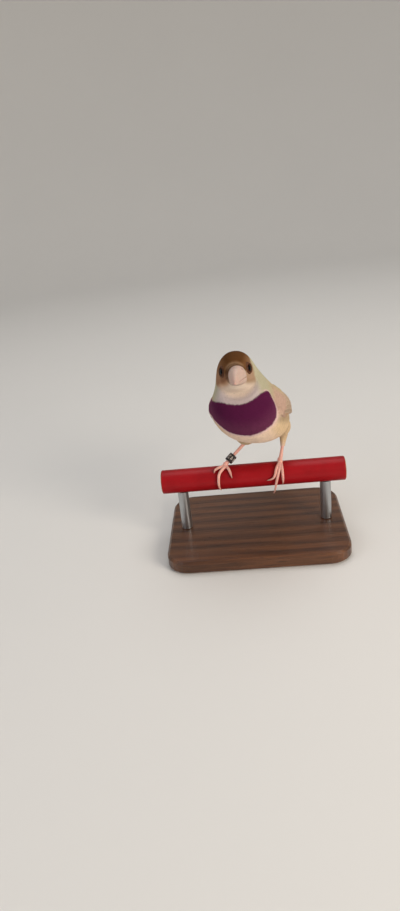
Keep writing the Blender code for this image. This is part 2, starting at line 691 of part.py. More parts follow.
def make_wing(name, side):
    u = np.linspace(0.0, PAD_END, 13)[:, None]
    v = np.linspace(0.0, 1.0, 7)[None, :]
    station, angle = wing_place(u, v, side)
    outer = np.full_like(station, WING_CLEARANCE + WING_PAD)
    top = over_body(station, angle, outer)
    below = over_body(station, angle, np.full_like(outer, WING_CLEARANCE))
    pieces = [slab("pad", top, below)]
    for count, roots, tips, half, heights, rows in WING_TIERS:
        for index in range(count):
            place = index / (count - 1)
            root = [a + (b - a) * place for a, b in zip(*roots)]
            tip = [a + (b - a) * place for a, b in zip(*tips)]
            lift = (1.0 - place) * TIER_STEP
            pieces.append(wing_vane(side, root, tip, half, (heights[0] + lift, heights[1] + lift), rows))
    finish(boolean(pieces[0], pieces[1:], "UNION"), name, "wing")


def tail_frame():
    """The tail's root, the way that it points, its left and its upward side."""
    root = to_space(TAIL_ROOT[0], 0.0, TAIL_ROOT[1], TAIL_STATION)
    pitch, yaw = math.radians(TAIL_PITCH), math.radians(BODY_YAW + TAIL_YAW)
    back = np.array([math.sin(yaw) * math.cos(pitch), math.cos(yaw) * math.cos(pitch), -math.sin(pitch)])
    left = np.array([math.cos(yaw), -math.sin(yaw), 0.0])
    return root, back, left, np.cross(back, left)


def tail_vane(side, aside, fan, length, half, height, droop, rows, point):
    """One tail feather: how far its root lies from the midline, its angle to it, its length and height."""
    root, back, left, up = tail_frame()
    share = 1.0 - (1.0 - np.linspace(0.0, 1.0, rows)) ** 1.25
    turn = math.radians(fan)
    reach = (length * share)[:, None]
    aside_now = side * (aside + reach * math.sin(turn))
    lift = up * (height + droop * share[:, None] ** 2)
    centre = root + back * reach * math.cos(turn) + left * aside_now + lift
    out = np.broadcast_to(up, centre.shape)
    across = unit(np.cross(np.gradient(centre, axis=0), out))
    return feather(centre, across, out, vane_half(share, half, 0.55 if point < 0.2 else 0.78, point))


def make_tail():
    flesh = body_length("base", TORSO_END, TAIL_BASE_END, 0.45, 20, None, cut_end=False, inflate=-TAIL_INSET)
    pieces = [flesh]
    for tier in TAIL_TIERS:
        for side in (-1, 1):
            pieces.append(tail_vane(side, *tier))
    finish(boolean(pieces[0], pieces[1:], "UNION"), "tail", "tail")


def perch_point(x, degrees, lift):
    """A point over the perch: x along it, degrees forward of its top, and the height over its surface."""
    turn = np.radians(degrees)
    radius = PERCH_RADIUS + np.asarray(lift, float)
    return np.stack(np.broadcast_arrays(x, -radius * np.sin(turn), radius * np.cos(turn)), axis=-1)


def toe_pieces(side, toe, lengths, degrees):
    """A toe and its claw, lying over the perch."""
    foot_x = FEET[side][0]
    place = np.linspace(0.0, 3.0, 10)
    x = foot_x + curve_through(np.array(lengths)[:, None], place)[:, 0]
    turn = curve_through(np.array(degrees, float)[:, None], place)[:, 0]
    radius = np.interp(place, (0, 1, 2), (TOE_RADIUS * 1.1, TOE_RADIUS, TOE_RADIUS * 0.86))
    lift = GAP + radius
    lift = lift + CLAW_LIFT.get((side, toe), 0.0) * smoothstep(1.6, 3.0, place)
    path = perch_point(x, turn, lift)
    toe_tube = tube("toe", path[:7], radius[:7], 7)
    claw_share = np.linspace(0.0, 1.0, 5)
    claw_place = 1.9 + 1.1 * claw_share
    claw_x = foot_x + curve_through(np.array(lengths)[:, None], claw_place)[:, 0]
    claw_turn = curve_through(np.array(degrees, float)[:, None], claw_place)[:, 0]
    claw_radius = CLAW_RADIUS * (1.0 - claw_share) ** 0.6 + CLAW_TIP
    claw_lift = GAP + claw_radius + CLAW_ARCH * np.sin(claw_share * math.pi)
    claw_lift = claw_lift + CLAW_LIFT.get((side, toe), 0.0) * smoothstep(1.6, 3.0, claw_place)
    claw = tube("claw", perch_point(claw_x, claw_turn, claw_lift), claw_radius, 5)
    return [toe_tube, claw]


def make_leg(side):
    foot, heel, knee = (np.array(table[side]) for table in (FEET, HEELS, KNEES))
    pieces = [ball("joint", foot, FOOT_RADIUS, 12, 7)]
    for toe, lengths, degrees in TOES[side]:
        pieces += toe_pieces(side, toe, lengths, degrees)
    finish(boolean(pieces[0], pieces[1:], "UNION"), "foot_" + side, "leg")
    along = unit(heel - foot)
    length = np.linalg.norm(heel - foot)
    place = np.linspace(FOOT_RADIUS + 2 * GAP, length - GAP, 8)
    share = (place - place[0]) / (place[-1] - place[0])
    radii = np.interp(share, SHANK_PLACES, SHANK_RADII)
    path = foot + along * place[:, None]
    shank = tube("shank", path, radii, 10, round_ends=False)
    bend = ball("bend", heel, HEEL_RADIUS * HEEL_SWELL, 12, 7, axis=along)
    finish(boolean(shank, [bend], "UNION"), "shank_" + side, "leg")
    up = unit(knee - heel)
    start = heel + up * (HEEL_RADIUS * HEEL_SWELL + GAP)
    reach = np.linalg.norm(knee - start)
    share = np.linspace(0.0, 1.0, 9)
    curve = start + share[:, None] * (up * reach)
    widths = THIGH_RADIUS * np.interp(share, THIGH_PLACES, THIGH_SHARES)
    thigh = tube("thigh", curve, widths, 16, round_ends=False)
    shell = body_length("shell", NECK_CUT, TORSO_END, 0.5, TORSO_SIDES, None, inflate=GAP)
    finish(boolean(thigh, [shell], "DIFFERENCE"), "thigh_" + side, "plumage")


def make_ring():
    foot, heel = np.array(FEET["right"]), np.array(HEELS["right"])
    centre = foot + (heel - foot) * RING_PLACE
    ring = ring_solid("ring", centre, heel - foot, RING_OUTER, RING_INNER, RING_HEIGHT, 28)
    finish(ring, "leg_ring", "ring")


def main():
    clear_scene()
    make_perch()
    make_stand()
    make_head()
    make_bill()
    make_body()
    make_tail()
    make_wing("wing_right", -1)
    make_wing("wing_left", 1)
    make_leg("right")
    make_leg("left")
    make_ring()


main()
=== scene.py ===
"""A life-size Gouldian finch, a cock of a pale colour form, on a short cut perch that a stand holds.

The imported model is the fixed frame. The bird follows the same named sizes as its solids, in millimetres over
the perch's axis. A place on its skin is a station along the body and an angle round it: 0 on the back, 90
degrees on the left side and 180 on the belly. Surfaces are worked out as whole arrays of points.
"""

import json
import logging
import math
from dataclasses import dataclass
from enum import Enum
from typing import Callable, Sequence
import bmesh
import bpy
import numpy as np
from mathutils import Matrix, Vector
from mathutils.bvhtree import BVHTree
from mathutils.kdtree import KDTree

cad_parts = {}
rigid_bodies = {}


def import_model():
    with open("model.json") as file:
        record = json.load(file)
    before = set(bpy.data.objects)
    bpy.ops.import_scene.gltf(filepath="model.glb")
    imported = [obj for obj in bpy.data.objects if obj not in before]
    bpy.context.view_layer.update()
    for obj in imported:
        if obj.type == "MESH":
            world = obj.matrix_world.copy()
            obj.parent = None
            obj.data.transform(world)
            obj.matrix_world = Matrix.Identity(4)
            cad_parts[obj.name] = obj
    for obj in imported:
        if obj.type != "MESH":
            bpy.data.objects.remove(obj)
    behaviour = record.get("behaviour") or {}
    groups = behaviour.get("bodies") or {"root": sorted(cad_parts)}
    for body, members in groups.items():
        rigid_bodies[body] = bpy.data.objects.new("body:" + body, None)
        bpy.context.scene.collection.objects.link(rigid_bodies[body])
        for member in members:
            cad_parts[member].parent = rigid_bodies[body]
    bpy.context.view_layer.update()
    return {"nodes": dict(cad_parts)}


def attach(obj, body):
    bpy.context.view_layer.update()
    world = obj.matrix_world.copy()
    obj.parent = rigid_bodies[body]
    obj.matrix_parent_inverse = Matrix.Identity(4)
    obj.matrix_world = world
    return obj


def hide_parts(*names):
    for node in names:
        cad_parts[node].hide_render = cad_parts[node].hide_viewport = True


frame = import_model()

Array = np.ndarray
Pair = tuple[Array, Array]
Material = bpy.types.Material
Object = bpy.types.Object
MM = 0.001
PERCH_HEIGHT = 31
PERCH_RADIUS = 5.5
FULL_TURN = 2 * math.pi
BAKE_PATCH = 0.003
EVEN = (1, 1, 1)
PLAIN_TINT = (*EVEN, 0.5)
UPRIGHT = ((1, 0, 0), (0, 1, 0), (0, 0, 1))
ALONG_X = ((0, 1, 0), (0, 0, 1), (1, 0, 0))
ROOT = "root"

log = logging.getLogger("finch")


class Side(Enum):
    """The bird's own right and left, as the sign of its sideways axis."""

    RIGHT = -1
    LEFT = 1

    @property
    def word(self) -> str:
        """The side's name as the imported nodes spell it."""
        return self.name.lower()

    def pick(self, pair: Sequence) -> Sequence:
        """The side's own one of a pair given as right and left."""
        return pair[self is Side.LEFT]


def unit(vector: Array) -> Array:
    """Vectors scaled to length one along their last axis."""
    return vector / np.maximum(np.linalg.norm(vector, axis=-1, keepdims=True), 1e-12)


def dot(a: Array, b: Array) -> Array:
    """The dot product along the last axis."""
    return np.sum(a * b, axis=-1)


def crossed(rows: Array, cols: Array) -> list[Array]:
    """Two tables, of each cell's row value and of its column value."""
    return np.meshgrid(rows, cols, indexing="ij")


def crossed_flat(rows: int, cols: int) -> Pair:
    """The row and the column numbers of a table's cells, as two lists."""
    row, column = crossed(np.arange(rows), np.arange(cols))
    return row.ravel(), column.ravel()


def turns(count: int) -> Array:
    """Even turns round a circle, in radians."""
    return np.arange(count) * FULL_TURN / count


def ramp(low: float, high: float, value: Array) -> Array:
    """An even S-shaped rise from 0 at low to 1 at high."""
    share = np.clip((value - low) / (high - low), 0, 1)
    return share * share * (3 - 2 * share)


def sine_rise(end: float, share: Array) -> Array:
    """A rise as a quarter of a sine, from 0 at 0 to 1 at the end and past it."""
    return np.sin(np.clip(share / end, 0, 1) * math.pi / 2)


def curve_through(values: Sequence, place: Array) -> Array:
    """A smooth curve through evenly numbered values.

    Formula: a cubic between neighbouring values, whose slopes come from the values beside them.

    Args:
        values: Rows of numbers.
        place: Where to read it, in row numbers.

    Returns:
        One row for each place.
    """
    values = np.asarray(values, float)
    values = values.reshape(len(values), -1)
    place = np.clip(place, 0, len(values) - 1)
    index = np.minimum(place.astype(int), len(values) - 2)
    t = (place - index)[..., None]
    padded = np.vstack([2 * values[0] - values[1], values, 2 * values[-1] - values[-2]])
    p0, p1, p2, p3 = (padded[index + k] for k in range(4))
    cubic = -p0 + 3 * p1 - 3 * p2 + p3
    square = 2 * p0 - 5 * p1 + 4 * p2 - p3
    return 0.5 * (2 * p1 + (p2 - p0) * t + square * t**2 + cubic * t**3)


def turned(radius: Array, height: Array, cols: int, axes: Sequence = UPRIGHT) -> Array:
    """A profile turned about an axis.

    Formula: the radius times the turn's cosine and sine along the first two axes, plus the height along the
    third.

    Args:
        radius: The rings' radii, rows by 1 or by columns.
        height: Their heights, likewise.
        cols: Points round.
        axes: Three directions square to each other.

    Returns:
        Rows by columns by 3.
    """
    turn = turns(cols)[:, None]
    first, second, third = np.asarray(axes, float)
    around = np.cos(turn) * first + np.sin(turn) * second
    return radius[..., None] * around + height[..., None] * third


def ball(centre: Array, radius: float, rows: int, cols: int, axes: Sequence = UPRIGHT) -> Array:
    """A ball's rings along its third axis, rows by columns by 3 points."""
    polar = ((np.arange(rows) + 0.5) / rows * math.pi)[:, None]
    return np.asarray(centre) + radius * turned(np.sin(polar), -np.cos(polar), cols, axes)


def linear(colour: str | Array) -> Array:
    """A colour as linear light.

    Args:
        colour: A web code, such as "d8b48c", or what is linear already.

    Returns:
        The linear colour.
    """
    if not isinstance(colour, str):
        return colour
    raw = np.array([int(colour[k : k + 2], 16) for k in (0, 2, 4)]) / 255
    return np.where(raw <= 0.04045, raw / 12.92, ((raw + 0.055) / 1.055) ** 2.4)


def blend(under: str | Array, over: str | Array, weight: Array) -> Array:
    """Two colours mixed, point by point, by a weight from 0 to 1."""
    weight = np.asarray(weight, float)[..., None]
    return linear(under) * (1 - weight) + linear(over) * weight


def linked(name: str, data: bpy.types.ID) -> Object:
    """A new object in the scene.

    Args:
        name: Its name.
        data: What it shows.

    Returns:
        The object.
    """
    made = bpy.data.objects.new(name, data)
    bpy.context.scene.collection.objects.link(made)
    return made


class Shape:
    """Points, faces, corner maps and tints of one piece, gathered part by part as arrays."""

    dome_shares = (0.55, 0.85)
    dome_height = 0.75

    def __init__(self) -> None:
        """Starts empty. Faces and maps are pairs: those of four corners, and those of three."""
        self.points: list[Array] = []
        self.tints: list[Array] = []
        self.faces: tuple[list, list] = ([], [])
        self.maps: tuple[dict, dict] = ({}, {})
        self.count = 0

    def add(self, points: Array, faces: Sequence[Array], maps: Sequence[dict], tint: Array) -> None:
        """Adds points with faces numbered within them.

        Args:
            points: Points by 3, in millimetres over the perch's axis.
            faces: Those of four corners and of three.
            maps: For both, corners' places by the maps' names.
            tint: Points by 4: a linear colour and a number that varies the finish.
        """
        points = points.reshape(-1, 3)
        self.points.append(points)
        self.tints.append(np.broadcast_to(tint, (len(points), 4)))
        for corners, store, added in zip((4, 3), self.faces, faces):
            store.append(added.reshape(-1, corners) + self.count)
        for store, added in zip(self.maps, maps):
            for name, places in added.items():
                store.setdefault(name, []).append(places)
        self.count += len(points)

    def grid(
        self,
        grid: Array,
        tint: Array = PLAIN_TINT,
        flip: bool = True,
        caps: tuple[bool, bool] = (True, True),
        profile: Array | None = None,
    ) -> "Shape":
        """Adds a surface with rows along it and columns round it.

        Args:
            grid: Rows by columns by 3.
            tint: One tint, or rows by columns by 4.
            flip: Turns the faces over.
            caps: Whether the first and last row are closed.
            profile: The map's value at each column, if not even.

        Returns:
            The shape itself.
        """
        rows, cols = grid.shape[:2]
        i, j = crossed_flat(rows - 1, cols)
        after = (j + 1) % cols
        quads = np.stack([i * cols + j, (i + 1) * cols + j, (i + 1) * cols + after, i * cols + after], axis=1)
        along = np.stack([i, i + 1, i + 1, i], axis=1) / (rows - 1)
        columns = np.arange(cols + 1) / cols if profile is None else np.append(profile, profile[0])
        quad_maps = np.stack([columns[np.stack([j, j, j + 1, j + 1], axis=1)], along], axis=-1)
        points = [grid.reshape(-1, 3)]
        tints = [np.broadcast_to(tint, (rows, cols, 4)).reshape(-1, 4)]
        tris = [np.zeros((0, 3), int)]
        tri_maps = [np.zeros((0, 3, 2))]
        low, high = columns[:-1], columns[1:]
        for is_last, wanted in enumerate(caps):
            if not wanted:
                continue
            row = np.arange(cols) + (rows - 1) * is_last * cols
            points.append(points[0][row].mean(axis=0, keepdims=True))
            tints.append(tints[0][row].mean(axis=0, keepdims=True))
            order = [0, 2, 1] if is_last else [0, 1, 2]
            centre = np.full(cols, rows * cols + len(tris) - 1)
            tris.append(np.stack([centre, row, np.roll(row, -1)], axis=1)[:, order])
            corners = np.stack([(low + high) / 2, low, high], axis=1)[:, order]
            tri_maps.append(np.stack([corners, np.full(corners.shape, float(is_last))], axis=-1))
        way = slice(None, None, -1 if flip else 1)
        tris, tri_maps = np.concatenate(tris)[:, way], np.concatenate(tri_maps)[:, way]
        maps = {"surface": quad_maps[:, way]}, {"surface": tri_maps}
        self.add(np.concatenate(points), (quads[:, way], tris), maps, np.concatenate(tints))
        return self

    def sheet(
        self, top: Array, below: Array, tint: Array, flip: bool = False, edge: Array | None = None
    ) -> None:
        """Adds a closed thin body between two sheets of points.

        Args:
            top: The upper sheet.
            below: The lower one.
            tint: Its tint.
            flip: Turns the faces over.
            edge: Each column's place across, from -1 to 1.
        """
        profile = None if edge is None else np.concatenate([edge, edge[::-1]]) / 2 + 0.5
        self.grid(np.concatenate([top, below[:, ::-1]], axis=1), tint, flip, profile=profile)

    def tube(
        self, path: Array, radii: Array, sides: int, hint: Array, flatten: float = 1,
        relief: Array | float = 0,
    ) -> None:
        """Adds a round tube with domed ends.

        Formula: each ring is its centre plus its radius times the turn's cosine and sine along two
        directions square to the path.

        Args:
            path: Points by 3.
            radii: One for each point.
            sides: Points round.
            hint: Where the section's height leans to.
            flatten: Its height against its width.
            relief: Extra radius, path by sides.
        """
        tangent = unit(np.gradient(path, axis=0))
        side = np.cross(hint, tangent)
        side = unit(np.where(np.linalg.norm(side, axis=-1, keepdims=True) < 1e-4, UPRIGHT[0], side))
        up = np.cross(tangent, side)
        turn = turns(sides)[None, :, None]
        rings = np.cos(turn) * side[:, None] + flatten * np.sin(turn) * up[:, None]
        body = path[:, None] + rings * (radii[:, None] + relief)[..., None]
        caps = []
        for end, sign in ((0, -1), (-1, 1)):
            for share in self.dome_shares:
                rise = tangent[end] * sign * radii[end] * self.dome_height * math.sin(math.acos(share))
                caps.append(path[end] + rise + rings[end] * radii[end] * share)
        self.grid(np.concatenate([[caps[0], caps[1]], body, [caps[3], caps[2]]]))

    def build(self, name: str, finish: Material | None = None, sharp: float = 50) -> Object:
        """Makes the object, at the origin with its place in its mesh.

        Args:
            name: Its name.
            finish: Its material, if it has one yet.
            sharp: Degrees from which an edge isn't smoothed.

        Returns:
            The object.
        """
        points = (np.concatenate(self.points) + (0, 0, PERCH_HEIGHT)) * MM
        quads, tris = (np.concatenate(faces) for faces in self.faces)
        mesh = bpy.data.meshes.new(name)
        mesh.vertices.add(len(points))
        mesh.vertices.foreach_set("co", points.astype(np.float32).ravel())
        mesh.loops.add(quads.size + tris.size)
        mesh.loops.foreach_set("vertex_index", np.concatenate([quads.ravel(), tris.ravel()]).astype(np.int32))
        mesh.polygons.add(len(quads) + len(tris))
        starts = np.concatenate([np.arange(len(quads)) * 4, quads.size + np.arange(len(tris)) * 3])
        mesh.polygons.foreach_set("loop_start", starts.astype(np.int32))
        mesh.update(calc_edges=True)
        for label in self.maps[0]:
            corners = np.concatenate([np.concatenate(maps[label]).reshape(-1, 2) for maps in self.maps])
            mesh.uv_layers.new(name=label).data.foreach_set("uv", corners.astype(np.float32).ravel())
        tint = mesh.attributes.new("tint", "FLOAT_COLOR", "POINT")
        tint.data.foreach_set("color", np.concatenate(self.tints).astype(np.float32).ravel())
        mesh.shade_smooth()
        mesh.set_sharp_from_angle(angle=math.radians(sharp))
        if finish:
            mesh.materials.append(finish)
        return linked(name, mesh)


def place_piece(made: Object, nodes: Sequence[str] = ()) -> None:
    """Lets a piece ride on the model.

    Args:
        made: The piece.
        nodes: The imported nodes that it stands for.
    """
    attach(made, ROOT)
    if nodes:
        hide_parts(*nodes)
    made.data.calc_loop_triangles()
    log.info("%s: %d triangles", made.name, len(made.data.loop_triangles))


def without_slivers(mesh: bpy.types.Mesh) -> None:
    """Cuts a mesh to triangles and drops pairs that lie back to back on the same points.

    Args:
        mesh: A joined piece's mesh.
    """
    net = bmesh.new()
    net.from_mesh(mesh)
    bmesh.ops.triangulate(net, faces=net.faces, quad_method="BEAUTY", ngon_method="BEAUTY")
    corners = np.sort([[corner.index for corner in face.verts] for face in net.faces], axis=1)
    _, which, counts = np.unique(corners, axis=0, return_inverse=True, return_counts=True)
    net.faces.ensure_lookup_table()
    doubled = [net.faces[number] for number in np.flatnonzero(counts[which.ravel()] > 1)]
    bmesh.ops.delete(net, geom=doubled, context="FACES")
    net.to_mesh(mesh)
    net.free()


def combine(whole: Object, others: Sequence[Object], operation: str, finish: Material | None = None) -> None:
    """Joins closed pieces to one, or cuts them from it.

    Args:
        whole: The piece that stays.
        others: The pieces used up.
        operation: "UNION" or "DIFFERENCE".
        finish: The whole's material.
    """
    group = bpy.data.collections.new("joined")
    for other in others:
        group.objects.link(other)
    modifier = whole.modifiers.new("join", "BOOLEAN")
    modifier.operation = operation
    modifier.operand_type = "COLLECTION"
    modifier.collection = group
    modifier.solver = "MANIFOLD"
    graph = bpy.context.evaluated_depsgraph_get()
    graph.update()
    mesh = bpy.data.meshes.new_from_object(whole.evaluated_get(graph))
    without_slivers(mesh)
    whole.modifiers.clear()
    whole.data = mesh
    mesh.name = whole.name
    for other in list(group.objects):
        bpy.data.objects.remove(other, do_unlink=True)
    bpy.data.collections.remove(group)
    if finish:
        mesh.materials.clear()
        mesh.materials.append(finish)


def operation(name: str, swapped: bool = False) -> Callable:
    """An operator of a wire, which adds one Math node.

    Args:
        name: The node's operation.
        swapped: Whether the other number comes first.

    Returns:
        The method.
    """

    def method(self: "Wire", *others: "Wire | float") -> "Wire":
        """The node's result."""
        values = (*others, self) if swapped else (self, *others)
        return self.paint.maths(name, *values)

    return method


class Wire:
    """A number or a vector on its way through a material's nodes, with the usual arithmetic."""

    __add__ = __radd__ = operation("ADD")
    __sub__ = operation("SUBTRACT")
    __rsub__ = operation("SUBTRACT", swapped=True)
    __mul__ = __rmul__ = operation("MULTIPLY")
    __pow__ = operation("POWER")
    wave = operation("SINE")
    size = operation("ABSOLUTE")

    def __init__(self, paint: "Paint", socket: bpy.types.NodeSocket) -> None:
        """Wraps one output socket of the paint's node tree."""
        self.paint = paint
        self.socket = socket

    def rise(self, low: float, high: float) -> "Wire":
        """An S-shaped rise, or a fall where high is below low.

        Args:
            low: Where it is 0.
            high: Where it is 1.

        Returns:
            The result.
        """
        settings = {"interpolation_type": "SMOOTHSTEP", "data_type": "FLOAT"}
        if high < low:
            return 1 - self.rise(high, low)
        return self.paint.node("ShaderNodeMapRange", settings, {0: self, 1: low, 2: high, 3: 0, 4: 1})[0]


class Paint:
    """One material: a Principled surface and the nodes that feed it."""

    def __init__(self, name: str, **constants: float) -> None:
        """Starts a material.

        Args:
            name: Its name.
            constants: Values of the surface's sockets, with underscores for spaces.
        """
        self.material = bpy.data.materials.new(name)
        self.material.use_nodes = True
        self.tree = self.material.node_tree
        self.surface = self.tree.nodes["Principled BSDF"]
        for label, value in constants.items():
            self.surface.inputs[label.replace("_", " ")].default_value = value

    def node(self, kind: str, settings: dict, inputs: dict) -> list[Wire]:
        """Adds one node.

        Args:
            kind: Its type.
            settings: Its properties, set first.
            inputs: Values or wires by the sockets' names or numbers.

        Returns:
            Its outputs.
        """
        made = self.tree.nodes.new(kind)
        for label, value in settings.items():
            setattr(made, label, value)
        for label, value in inputs.items():
            if isinstance(value, Wire):
                self.tree.links.new(value.socket, made.inputs[label])
            else:
                made.inputs[label].default_value = value
        return [Wire(self, socket) for socket in made.outputs]

    def maths(self, operation: str, *values: Wire | float) -> Wire:
        """One Math node on wires or plain numbers."""
        return self.node("ShaderNodeMath", {"operation": operation}, dict(enumerate(values)))[0]

    def mix(self, factor: Wire, first: Wire | str, second: Wire | str) -> Wire:
        """Two colours mixed.

        Args:
            factor: The second one's share.
            first: A wire or a web code.
            second: Likewise.

        Returns:
            The mixed colour.
        """
        settings = {"data_type": "RGBA", "blend_type": "MIX", "clamp_factor": True}
        pair = [value if isinstance(value, Wire) else (*linear(value), 1) for value in (first, second)]
        return self.node("ShaderNodeMix", settings, {0: factor, 6: pair[0], 7: pair[1]})[2]

    def scaled(self, colour: Wire | str, factor: Wire) -> Wire:
        """A colour made lighter or darker by a factor."""
        return self.node("ShaderNodeVectorMath", {"operation": "SCALE"}, {0: linear(colour), 3: factor})[0]

    def tint(self) -> tuple[Wire, Wire]:
        """The colour and the varying number that each point of the mesh carries."""
        colour, _, _, number = self.node("ShaderNodeAttribute", {"attribute_name": "tint"}, {})
        return colour, number

    def numbers(self, vector: Wire) -> list[Wire]:
        """A vector's three numbers."""
        return self.node("ShaderNodeSeparateXYZ", {}, {0: vector})

    def map_place(self, name: str) -> list[Wire]:
        """The two numbers of a corner map."""
        return self.numbers(self.node("ShaderNodeUVMap", {"uv_map": name}, {})[0])[:2]

    def place(self, stretch: tuple = EVEN) -> Wire:
        """The object's own coordinates, stretched along its axes."""
        own = self.node("ShaderNodeTexCoord", {}, {})[3]
        return self.node("ShaderNodeMapping", {}, {0: own, 3: stretch})[0]

    def noise(self, scale: float, detail: float, stretch: tuple = EVEN, rough: float = 0.5) -> Wire:
        """Noise from 0 to 1 on the object's own coordinates, of a scale in features per metre."""
        inputs = {"Vector": self.place(stretch), "Scale": scale, "Detail": detail, "Roughness": rough}
        return self.node("ShaderNodeTexNoise", {}, inputs)[0]

    def cells(self, scale: float) -> Wire:
        """Distances to scattered cell centres on the object's own coordinates."""
        inputs = {"Vector": self.place(), "Scale": scale}
        return self.node("ShaderNodeTexVoronoi", {"feature": "F1"}, inputs)[0]

    def bump(self, height: Wire, strength: float, distance: float) -> None:
        """Raises the surface's shading by a height of so many metres."""
        inputs = {"Height": height, "Strength": strength, "Distance": distance}
        self.feed(Normal=self.node("ShaderNodeBump", {}, inputs)[0])

    def feed(self, colour: Wire | None = None, roughness: Wire | None = None, **others: Wire) -> Material:
        """Links what varies to the surface.

        Args:
            colour: Its colour.
            roughness: Its roughness.
            others: Wires for other sockets.

        Returns:
            The material.
        """
        wanted = {"Base_Color": colour, "Roughness": roughness, **others}
        for label, wire in wanted.items():
            if wire is not None:
                self.tree.links.new(wire.socket, self.surface.inputs[label.replace("_", " ")])
        return self.material


@dataclass(frozen=True)
class BodyForm:
    """The bird's skin as one surface, from the same sections as its solids.

    Each station gives a point on the back, a point on the belly, a half width and how far down the section is
    widest. A section is a rounded oval between them.
    """

    yaw: float = 13.5
    shift_x: float = 2
    head_yaw: float = -13
    head_roll: float = -3
    head_shift: float = -1.5
    head_pivot: float = 16
    pivot_height: float = 56.8
    lean: float = 2.8
    lean_grows: tuple[float, float] = (5.5, 9.5)
    lean_fades: tuple[float, float] = (12.5, 16)
    power: float = 0.93
    neck_bend: tuple[float, float] = (3.9, 8)
    sections: tuple = (
        (26.9, 61.2, 26.2, 52.4, 3.9, 0.54),
        (25.6, 62.2, 25, 50.4, 5, 0.57),
        (22.9, 63.4, 23, 48.8, 6.3, 0.6),
        (18.6, 63.8, 21.9, 47.6, 7.4, 0.61),
        (14.2, 62.6, 22.9, 46.4, 8.2, 0.6),
        (10.9, 59.7, 24.6, 45, 8.9, 0.58),
        (8, 56, 26, 42.4, 10, 0.55),
        (5, 51.9, 26.9, 38.8, 11.8, 0.53),
        (1.6, 48.2, 26.7, 34.2, 14, 0.52),
        (-2.4, 45.3, 24.2, 29.6, 15.6, 0.52),
        (-6.8, 42.7, 19.3, 25.2, 16, 0.52),
        (-11.6, 40.2, 13, 21.7, 15.8, 0.52),
        (-17, 37.3, 5.6, 19.1, 15.2, 0.53),
        (-22.5, 34.4, -2.4, 17.6, 14, 0.53),
        (-28, 31.4, -11.2, 17.3, 12.2, 0.52),
        (-33, 28.7, -20, 18.3, 9.8, 0.5),
        (-37.5, 26.3, -28.5, 18.7, 7.3, 0.48),
        (-42, 23.9, -36.5, 18.3, 5.2, 0.47),
        (-48, 20.6, -45, 17, 4.5, 0.47),
        (-55, 16.9, -53, 15, 3.7, 0.47),
        (-62, 13.7, -60.5, 12.3, 2.7, 0.47),
    )

    def to_space(self, forward: Array, side: Array, up: Array, station: Array) -> Array:
        """Places in the bird's own frame, in space.

        Formula: over the neck the head rolls, turns and shifts about its pivot by a growing share, and the
        whole bird turns about the perch's middle.

        Args:
            forward: Millimetres ahead along the bird.
            side: Millimetres to its left.
            up: Millimetres over the perch's axis.
            station: Where on the body they belong.

        Returns:
            Points by 3.
        """
        share = 1 - ramp(*self.neck_bend, station)
        turn, roll = np.radians(self.head_yaw) * share, np.radians(self.head_roll) * share
        rise = up - self.pivot_height
        rolled_side = side * np.cos(roll) + rise * np.sin(roll)
        rolled_up = self.pivot_height - side * np.sin(roll) + rise * np.cos(roll)
        ahead = forward - self.head_pivot
        turned_forward = self.head_pivot + ahead * np.cos(turn) + rolled_side * np.sin(turn)
        turned_side = rolled_side * np.cos(turn) - ahead * np.sin(turn) + self.head_shift * share
        yaw = math.radians(self.yaw)
        x = self.shift_x - turned_forward * math.sin(yaw) + turned_side * math.cos(yaw)
        y = -turned_forward * math.cos(yaw) - turned_side * math.sin(yaw)
        return np.stack(np.broadcast_arrays(x, y, rolled_up), axis=-1)

    def head_point(self, forward: Array, side: Array, up: Array) -> Array:
        """A place in the head's own frame, in space."""
        return self.to_space(forward, side, up, 0)

    def point(self, station: Array, angle: Array) -> Array:
        """Points of the skin.

        Formula: powers just under one of the angle's sine and cosine give the share of the half width and
        of the way from back to belly.

        Args:
            station: Stations.
            angle: Radians, positive to the left.

        Returns:
            Points by 3.
        """
        station, angle = np.broadcast_arrays(station, angle)
        rows = curve_through(self.sections, station)
        back_f, back_z, belly_f, belly_z, half, widest = np.moveaxis(rows, -1, 0)
        across, down = np.sin(angle), np.cos(angle)
        side = np.sign(across) * np.abs(across) ** self.power * half
        reach = np.sign(down) * np.abs(down) ** self.power
        depth = widest - np.where(reach > 0, reach * widest, reach * (1 - widest))
        hang = ramp(*self.lean_grows, station) * (1 - ramp(*self.lean_fades, station))
        side = side + self.lean * hang * ramp(0.4, 1, depth)
        forward = back_f + (belly_f - back_f) * depth
        up = back_z + (belly_z - back_z) * depth
        return self.to_space(forward, side, up, station)

    def tangents(self, station: Array, angle: Array) -> Pair:
        """The skin's change with one station and with one radian, over a small step.

        Args:
            station: Stations.
            angle: Angles.

        Returns:
            Both changes.
        """
        step = 0.02
        along = (self.point(station + step, angle) - self.point(station - step, angle)) / (2 * step)
        around = (self.point(station, angle + step) - self.point(station, angle - step)) / (2 * step)
        return along, around

    def normal(self, station: Array, angle: Array) -> Array:
        """The skin's outward direction: its two tangents' cross product."""
        along, around = self.tangents(station, angle)
        return unit(np.cross(around, along))

    def over(self, station: Array, angle: Array, height: Array) -> Array:
        """Points at a height over the skin."""
        return self.point(station, angle) + self.normal(station, angle) * np.asarray(height)[..., None]

